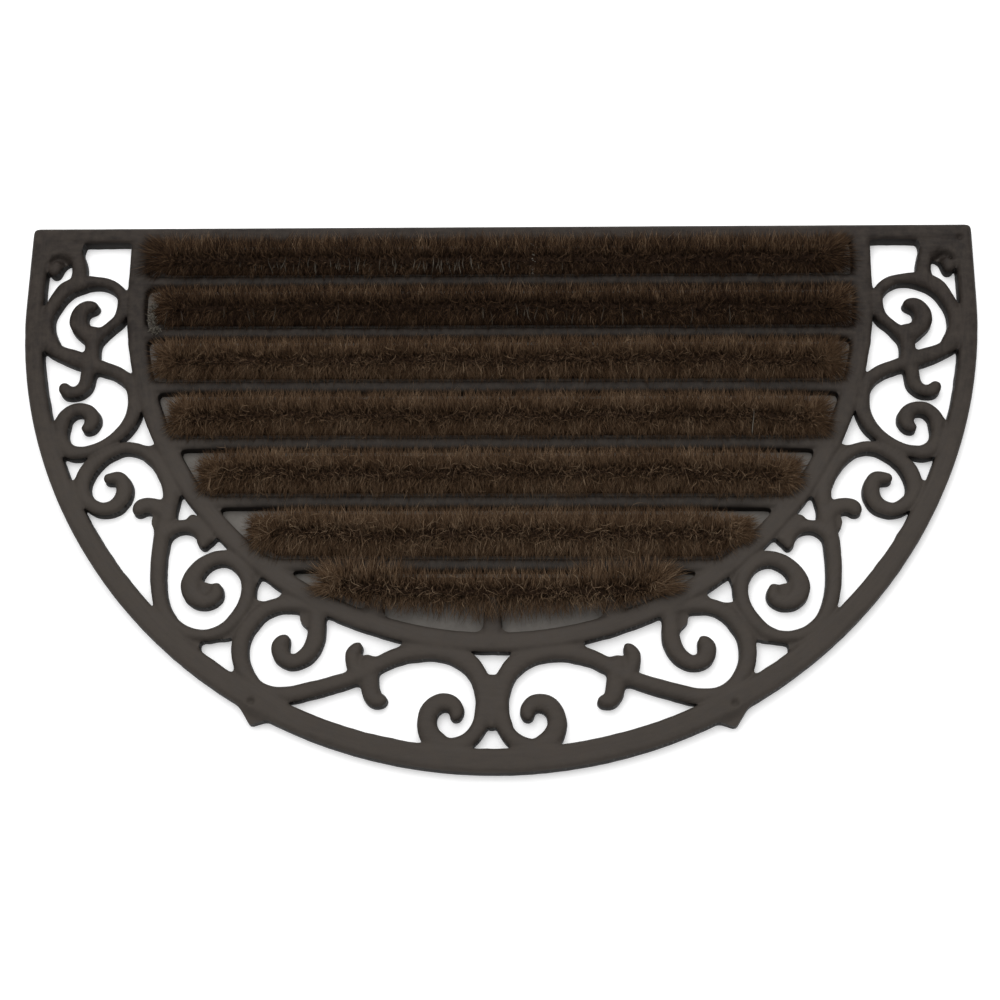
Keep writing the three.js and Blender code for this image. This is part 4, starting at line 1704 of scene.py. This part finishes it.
class NodeSheet:
    """Short ways to add and join nodes in one node tree."""

    def __init__(self, tree: Tree) -> None:
        """Keeps the tree."""
        self.tree = tree

    def found(self, kind: str) -> Node:
        """The tree's one node of a type."""
        return next(node for node in self.tree.nodes if node.bl_idname == kind)

    def feed(self, node: Node, values: Inputs) -> None:
        """Gives a node's inputs their values.

        Args:
            node: The node.
            values: A number, an (r, g, b) or another node's socket for each input, by its name or number.
        """
        for key, value in values.items():
            if isinstance(value, Socket):
                self.tree.links.new(value, node.inputs[key])
            else:
                node.inputs[key].default_value = (*value, 1.0) if isinstance(value, tuple) else value

    def node(self, kind: str, values: Inputs, **settings: object) -> Node:
        """Adds a node.

        Args:
            kind: Its type.
            values: What its inputs get.
            settings: Its properties by name.

        Returns:
            The node.
        """
        node = self.tree.nodes.new(kind)
        for key, setting in settings.items():
            setattr(node, key, setting)
        self.feed(node, values)
        return node

    def place(self) -> Socket:
        """Place of the point that is shaded, in the object's own coordinates."""
        return self.node("ShaderNodeTexCoord", {}).outputs["Object"]

    def parts(self, vector: Socket) -> bpy.types.bpy_prop_collection:
        """The three numbers of a vector, as sockets named X, Y and Z."""
        return self.node("ShaderNodeSeparateXYZ", {"Vector": vector}).outputs

    def noise(self, vector: Socket, scale: Value, detail: float = 3.0, roughness: float = 0.55) -> Socket:
        """Noise texture on a vector.

        Args:
            vector: Where it is read.
            scale: How many features it has in a metre.
            detail: Number of finer layers on it.
            roughness: Weight of the finer layers.

        Returns:
            Its value between 0 and 1.
        """
        values = {"Vector": vector, "Scale": scale, "Detail": detail, "Roughness": roughness}
        return self.node("ShaderNodeTexNoise", values).outputs["Fac"]

    def spread(self, value: Socket, span: Span, to: Span = (0.0, 1.0)) -> Socket:
        """Maps a value from one range to another, held inside it.

        Args:
            value: The value.
            span: The range that it is read on, from either end.
            to: The range that it is mapped to.

        Returns:
            The mapped value.
        """
        values = {"Value": value, "From Min": span[0], "From Max": span[1], "To Min": to[0], "To Max": to[1]}
        return self.node("ShaderNodeMapRange", values).outputs["Result"]

    def upward(self, span: Span, normal: str = "Normal") -> Socket:
        """How far a face looks up: 0 where its normal's Z is at the start of the span, and 1 at its end."""
        facing = self.node("ShaderNodeNewGeometry", {}).outputs[normal]
        return self.spread(self.parts(facing)["Z"], span)

    def math(self, operation: str, first: Socket, second: Value = 0.0) -> Socket:
        """Arithmetic on a socket and a number or another socket."""
        return self.node("ShaderNodeMath", {0: first, 1: second}, operation=operation).outputs[0]

    def mix(self, share: Socket, first: Value, second: Value) -> Socket:
        """Mixes two colours, each a socket or an (r, g, b), from the first at 0 to the second at 1."""
        return self.node("ShaderNodeMix", {0: share, 6: first, 7: second}, data_type="RGBA").outputs[2]

    def bump(self, height: Socket, strength: float, distance: float) -> Socket:
        """Normal that is tilted by a height, whose whole range is distance metres high."""
        values = {"Height": height, "Strength": strength, "Distance": distance}
        return self.node("ShaderNodeBump", values).outputs["Normal"]


def new_group(name: str, inputs: Dict[str, Tuple[str, Value]], outputs: Dict[str, str]) -> NodeSheet:
    """Empty shader node group with named sockets.

    Args:
        name: Name of the group.
        inputs: Type and default of each input, by its name.
        outputs: Type of each output, by its name.

    Returns:
        The group's sheet, holding its Group Input and Group Output nodes.
    """
    group = bpy.data.node_groups.new(name, "ShaderNodeTree")
    for label, (kind, default) in inputs.items():
        socket = group.interface.new_socket(name=label, in_out="INPUT", socket_type=kind)
        socket.default_value = (*default, 1.0) if isinstance(default, tuple) else default
    for label, kind in outputs.items():
        group.interface.new_socket(name=label, in_out="OUTPUT", socket_type=kind)
    group.nodes.new("NodeGroupInput")
    group.nodes.new("NodeGroupOutput")
    return NodeSheet(group)


def dust_group() -> Tree:
    """Group that lays dust on the faces that look up: noise sharpened to patches, times the upward part.

    Returns:
        The group.
    """
    sheet = new_group(
        "Dust",
        {
            "Colour": ("NodeSocketColor", (0.1, 0.1, 0.1)),
            "Dust Colour": ("NodeSocketColor", (0.3, 0.3, 0.3)),
            "Amount": ("NodeSocketFloat", 0.3),
            "Scale": ("NodeSocketFloat", 60.0),
        },
        {"Colour": "NodeSocketColor", "Mask": "NodeSocketFloat"},
    )
    given = sheet.found("NodeGroupInput").outputs
    texture = sheet.noise(sheet.place(), given["Scale"], 4.0, 0.65)
    patches = sheet.spread(texture, (0.38, 0.68))
    mask = sheet.math("MULTIPLY", patches, sheet.upward((0.35, 1.0)))
    mask = sheet.math("MULTIPLY", mask, given["Amount"])
    colour = sheet.mix(mask, given["Colour"], given["Dust Colour"])
    sheet.feed(sheet.found("NodeGroupOutput"), {"Colour": colour, "Mask": mask})
    return sheet.tree


def grain_group() -> Tree:
    """Group that gives a grain height: fine noise plus broad pits, each weighed by its own input.

    Returns:
        The group.
    """
    number = "NodeSocketFloat"
    sheet = new_group(
        "Grain",
        {
            "Fine Scale": (number, 1500.0), "Fine": (number, 0.5),
            "Broad Scale": (number, 220.0), "Broad": (number, 0.5),
        },
        {"Height": number},
    )
    given = sheet.found("NodeGroupInput").outputs
    layers = []
    for label in ("Fine", "Broad"):
        texture = sheet.noise(sheet.place(), given[f"{label} Scale"], 2.0, 0.5)
        layers.append(sheet.math("MULTIPLY", texture, given[label]))
    sheet.feed(sheet.found("NodeGroupOutput"), {"Height": sheet.math("ADD", *layers)})
    return sheet.tree


@dataclass(frozen=True)
class SharedGroups:
    """Node groups that the finishes share."""

    dust: Tree
    grain: Tree


@dataclass(frozen=True)
class Grain:
    """A finish's grain: scale and weight of its fine and its broad noise, and strength and height of bump."""

    fine: Span
    broad: Span
    strength: float
    distance: float

    def normal(self, sheet: NodeSheet, groups: SharedGroups) -> Socket:
        """Places the shared grain in a finish and bumps the surface by it.

        Args:
            sheet: The finish's sheet.
            groups: The shared groups.

        Returns:
            The bumped normal.
        """
        values = {
            "Fine Scale": self.fine[0], "Fine": self.fine[1],
            "Broad Scale": self.broad[0], "Broad": self.broad[1],
        }
        grain = sheet.node("ShaderNodeGroup", values, node_tree=groups.grain)
        return sheet.bump(grain.outputs["Height"], self.strength, self.distance)


def new_material(name: str) -> Tuple[bpy.types.Material, NodeSheet]:
    """Material with the default shader.

    Args:
        name: Its name.

    Returns:
        The material and its sheet.
    """
    material = bpy.data.materials.new(name)
    material.use_nodes = True
    return material, NodeSheet(material.node_tree)


@dataclass(frozen=True)
class RubberFinish:
    """Matt moulded rubber: warm dark grey in patches and fine flow lines, grained, dusty where it lies deep.

    The flow lines follow the mat's outline: they are noise on (distance from the outline plus height, an
    eighth of x, an eighth of y), so they change fast across the rim and slowly along it. Walls get painted
    shade, darker than tops, and the trays get painted shade as if shaded by the coir. Over the ranges worn,
    painted_tray_shade_edge, tray_back and floor_heights, in metres, the front gets dustier, the painted tray
    shade ends at the inner rim and at the rail, and the floors' dust ends.
    """

    dark: Colour = (0.0134, 0.0101, 0.0084)
    light: Colour = (0.0248, 0.0188, 0.0153)
    # wall is painted shade: faces that don't look up are darkened as if out of the light.
    wall: Colour = (0.0077, 0.0059, 0.0049)
    # painted_tray_shade is painted shade over the trays and bars, as if shaded by the coir.
    painted_tray_shade: Colour = (0.0080, 0.0058, 0.0044)
    dust: Colour = (0.060, 0.051, 0.043)
    floor_dust: Colour = (0.185, 0.172, 0.156)
    patch_scale: float = 24.0
    patch_range: Span = (0.78, 1.22)
    flow_scale: float = 420.0
    flow_stretch: float = 0.125
    worn: Span = (0.13, 0.0)
    worn_share: float = 0.5
    # Range over which the painted tray shade ends at the inner rim, and its strength.
    painted_tray_shade_edge: Span = (0.250, 0.275)
    painted_tray_shade_share: float = 0.7
    tray_back: Span = (0.203, 0.207)
    top_facing: Span = (0.2, 0.6)
    floor_heights: Span = (3.1 * MM, 5.0 * MM)
    floor_share: float = 0.6
    dust_amount: float = 0.45
    dust_scale: float = 140.0
    roughness: Span = (0.56, 0.85)
    roughness_dust: float = 0.4
    specular: float = 0.13
    grain: Grain = Grain((1400.0, 0.5), (260.0, 0.9), 0.55, 0.0006)

    def from_centre(self, sheet: NodeSheet, x: Socket, y: Socket) -> Socket:
        """Distance from the round side's centre, or from X = 0 behind it, as the root of two squares.

        Args:
            sheet: The material's sheet.
            x: X of the point.
            y: Y of the point.

        Returns:
            The distance.
        """
        forward = sheet.math("MINIMUM", sheet.math("SUBTRACT", y, PLAN.outer_centre_y * MM), 0.0)
        forward2 = sheet.math("MULTIPLY", forward, forward)
        return sheet.math("SQRT", sheet.math("ADD", forward2, sheet.math("MULTIPLY", x, x)))

    def flow_lines(self, sheet: NodeSheet, at: bpy.types.bpy_prop_collection, out: Socket) -> Socket:
        """Fine lines along the outline.

        Args:
            sheet: The material's sheet.
            at: X, Y and Z of the point.
            out: Its distance from the round side's centre.

        Returns:
            A value about one half.
        """
        round_side = sheet.math("SUBTRACT", out, PLAN.outer_radius * MM)
        back = sheet.math("SUBTRACT", at["Y"], PLAN.back_edge_y * MM)
        lines = sheet.node("ShaderNodeCombineXYZ", {
            "X": sheet.math("ADD", sheet.math("MAXIMUM", round_side, back), at["Z"]),
            "Y": sheet.math("MULTIPLY", at["X"], self.flow_stretch),
            "Z": sheet.math("MULTIPLY", at["Y"], self.flow_stretch),
        })
        return sheet.noise(lines.outputs["Vector"], self.flow_scale)

    def material(self, groups: SharedGroups) -> bpy.types.Material:
        """Builds the material.

        Args:
            groups: The shared groups.

        Returns:
            The material.
        """
        material, sheet = new_material("moulded_rubber")
        place = sheet.place()
        at = sheet.parts(place)
        out = self.from_centre(sheet, at["X"], at["Y"])
        flow = self.flow_lines(sheet, at, out)
        patches = sheet.math("ADD", sheet.noise(place, self.patch_scale, 5.0, 0.65), flow)
        colour = sheet.mix(sheet.spread(patches, self.patch_range), self.dark, self.light)
        worn = sheet.spread(at["Y"], self.worn, (0.0, self.worn_share))
        colour = sheet.mix(worn, colour, self.dust)
        # Painted shade over the trays and bars, inside the inner rim and in front of the rail.
        in_rim = sheet.spread(out, self.painted_tray_shade_edge, (self.painted_tray_shade_share, 0.0))
        in_rail = sheet.spread(at["Y"], self.tray_back, (1.0, 0.0))
        colour = sheet.mix(sheet.math("MULTIPLY", in_rim, in_rail), colour, self.painted_tray_shade)
        # Painted shade: faces that don't look up take the darker wall colour.
        upward = sheet.upward(self.top_facing, "True Normal")
        colour = sheet.mix(upward, self.wall, colour)
        deep = sheet.math("MULTIPLY", sheet.spread(at["Z"], self.floor_heights, (1.0, 0.0)), upward)
        dusty = sheet.node("ShaderNodeGroup", {
            "Colour": sheet.mix(sheet.math("MULTIPLY", deep, self.floor_share), colour, self.floor_dust),
            "Dust Colour": sheet.mix(deep, self.dust, self.floor_dust),
            "Amount": self.dust_amount,
            "Scale": self.dust_scale,
        }, node_tree=groups.dust).outputs
        sheet.feed(sheet.found("ShaderNodeBsdfPrincipled"), {
            "Base Color": dusty["Colour"],
            "Roughness": sheet.spread(dusty["Mask"], (0.0, self.roughness_dust), self.roughness),
            "Normal": self.grain.normal(sheet, groups),
            "Specular IOR Level": self.specular,
        })
        return material


@dataclass(frozen=True)
class CoirFinish:
    """Coarse coir: each fibre has its own tone from near black to straw, with painted shade towards its root.

    The first pattern coordinate is the fibre's tone and the second runs along it from root to tip. Tones from
    0.86 are pale grey lint. painted_root_range is the part of the way along over which the painted root shade
    ends.
    """

    tones: Tuple[Tuple[float, Colour], ...] = (
        (0.0, (0.012, 0.006, 0.004)),
        (0.2, (0.040, 0.021, 0.010)),
        (0.42, (0.090, 0.053, 0.029)),
        (0.62, (0.160, 0.103, 0.062)),
        (0.8, (0.27, 0.19, 0.12)),
        (0.86, (0.076, 0.064, 0.047)),
        (1.0, (0.30, 0.28, 0.24)),
    )
    # Painted shade deep in the brush: each fibre darkens towards its root.
    painted_root_shade: Colour = (0.014, 0.008, 0.005)
    painted_root_range: Span = (0.1, 0.9)
    painted_root_share: float = 0.8
    roughness: float = 0.75
    specular: float = 0.06
    grain: Grain = Grain((3000.0, 0.6), (700.0, 0.3), 0.3, 0.0002)

    def tone_ramp(self, sheet: NodeSheet, tone: Socket) -> Socket:
        """Colour of a tone, mixed between the two stops beside it.

        Args:
            sheet: The material's sheet.
            tone: The tone.

        Returns:
            The colour.
        """
        ramp = sheet.node("ShaderNodeValToRGB", {"Fac": tone})
        stops = ramp.color_ramp.elements
        while len(stops) < len(self.tones):
            stops.new(0.5)
        for stop, (position, colour) in zip(stops, self.tones):
            stop.position = position
            stop.color = (*colour, 1.0)
        return ramp.outputs["Color"]

    def material(self, groups: SharedGroups) -> bpy.types.Material:
        """Builds the material.

        Args:
            groups: The shared groups.

        Returns:
            The material.
        """
        material, sheet = new_material("coir_fibre")
        fibre = sheet.parts(sheet.node("ShaderNodeUVMap", {}, uv_map=FIBRE_MAP).outputs["UV"])
        # Painted shade towards each fibre's root.
        root = sheet.spread(fibre["Y"], self.painted_root_range, (self.painted_root_share, 0.0))
        sheet.feed(sheet.found("ShaderNodeBsdfPrincipled"), {
            "Base Color": sheet.mix(root, self.tone_ramp(sheet, fibre["X"]), self.painted_root_shade),
            "Normal": self.grain.normal(sheet, groups),
            "Roughness": self.roughness,
            "Specular IOR Level": self.specular,
        })
        return material


# Studio


@dataclass(frozen=True)
class Lamp:
    """Square soft light that points at the mat's middle, with its place and side in millimetres."""

    name: str
    place: Tuple[float, float, float]
    side: float
    watts: float

    def build(self) -> None:
        """Adds the light."""
        data = bpy.data.lights.new(self.name, "AREA")
        data.shape = "SQUARE"
        data.size = self.side * MM
        data.energy = self.watts
        light = bpy.data.objects.new(self.name, data)
        at = Matrix.Translation([value * MM for value in self.place])
        aim = at.translation.to_track_quat("Z", "Y").to_matrix().to_4x4()
        light.matrix_world = at @ aim
        bpy.context.scene.collection.objects.link(light)


@dataclass(frozen=True)
class Studio:
    """Camera at the photograph's view, soft lights and a plain pale floor.

    The camera's turn is the photograph's: first about Y by the yaw, then about X by the pitch, then about Z
    by the roll, from a view straight down.
    """

    camera_at: Tuple[float, float, float] = (57.1, -466.9, 1365.3)
    yaw: float = -2.24
    pitch: float = -18.59
    roll: float = -0.71
    lens: float = 67.65
    sensor: float = 36.0
    reach: float = 50.0
    lamps: Tuple[Lamp, ...] = (
        Lamp("overhead", (-300.0, 500.0, 2200.0), 1800.0, 33.0),
        Lamp("back", (500.0, 1800.0, 1300.0), 1200.0, 13.0),
    )
    white: Colour = (1.0, 1.0, 1.0)
    surrounding: float = 0.66
    floor_colour: Colour = (0.92, 0.92, 0.92)
    floor_roughness: float = 0.9
    floor_glow: float = 0.2
    floor_half: float = 6000.0
    floor_drop: float = 0.2

    def turn(self) -> Matrix:
        """Rotation from the camera's axes to the part's.

        Returns:
            The rotation, as three rows of three.
        """
        yaw, pitch, roll = (math.radians(angle) for angle in (self.yaw, self.pitch, self.roll))
        view = Matrix.Rotation(roll, 3, "Z") @ Matrix.Rotation(pitch, 3, "X") @ Matrix.Rotation(yaw, 3, "Y")
        return view.transposed()

    def add_camera(self) -> None:
        """Adds the camera and makes it the scene's."""
        data = bpy.data.cameras.new("photo_camera")
        data.lens = self.lens
        data.sensor_width = self.sensor
        data.clip_end = self.reach
        camera = bpy.data.objects.new("photo_camera", data)
        at = Matrix.Translation([value * MM for value in self.camera_at])
        camera.matrix_world = at @ self.turn().to_4x4()
        bpy.context.scene.collection.objects.link(camera)
        bpy.context.scene.camera = camera

    def add_floor(self) -> None:
        """Adds the floor, just under the mat."""
        corners = np.array([(-1, -1), (1, -1), (1, 1), (-1, 1)]) * self.floor_half
        points = np.column_stack([corners, np.full(4, -self.floor_drop)])
        parts = MeshParts()
        parts.add(points, split_quads(np.array([[0, 1, 2, 3]])))
        floor = parts.object("floor", is_smooth=False)
        material, sheet = new_material("pale_floor")
        sheet.feed(sheet.found("ShaderNodeBsdfPrincipled"), {
            "Base Color": self.floor_colour,
            "Roughness": self.floor_roughness,
            "Emission Color": self.white,
            "Emission Strength": self.floor_glow,
        })
        floor.data.materials.append(material)

    def add_surroundings(self) -> None:
        """Adds an even white light from all round."""
        world = bpy.data.worlds.new("studio")
        world.use_nodes = True
        sheet = NodeSheet(world.node_tree)
        sheet.feed(sheet.found("ShaderNodeBackground"), {"Color": self.white, "Strength": self.surrounding})
        bpy.context.scene.world = world

    def build(self) -> None:
        """Adds the camera, the floor, the lights and the surrounding light, shown in plain colours."""
        self.add_camera()
        self.add_floor()
        for lamp in self.lamps:
            lamp.build()
        self.add_surroundings()
        bpy.context.scene.view_settings.view_transform = "Standard"


def dress(piece: Piece, material: bpy.types.Material, node: str) -> None:
    """Gives a piece its finish and its place in the frame.

    Args:
        piece: The new piece.
        material: Its finish.
        node: The node that it stands for.
    """
    piece.data.materials.append(material)
    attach(piece, BODY)
    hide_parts(node)
    LOG.info("%s: %d triangles, for %s", piece.name, len(piece.data.polygons), node)


def main() -> None:
    """Loads the frame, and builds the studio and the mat."""
    logging.basicConfig(level=logging.INFO, format="%(name)s: %(message)s")
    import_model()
    groups = SharedGroups(dust=dust_group(), grain=grain_group())
    Studio().build()

    dress(MouldedFrame().build(), RubberFinish().material(groups), "frame")
    coir = CoirFinish().material(groups)
    for plan in ROWS:
        row = BrushRow(plan)
        dress(row.build(), coir, row.node)


if __name__ == "__main__":
    main()
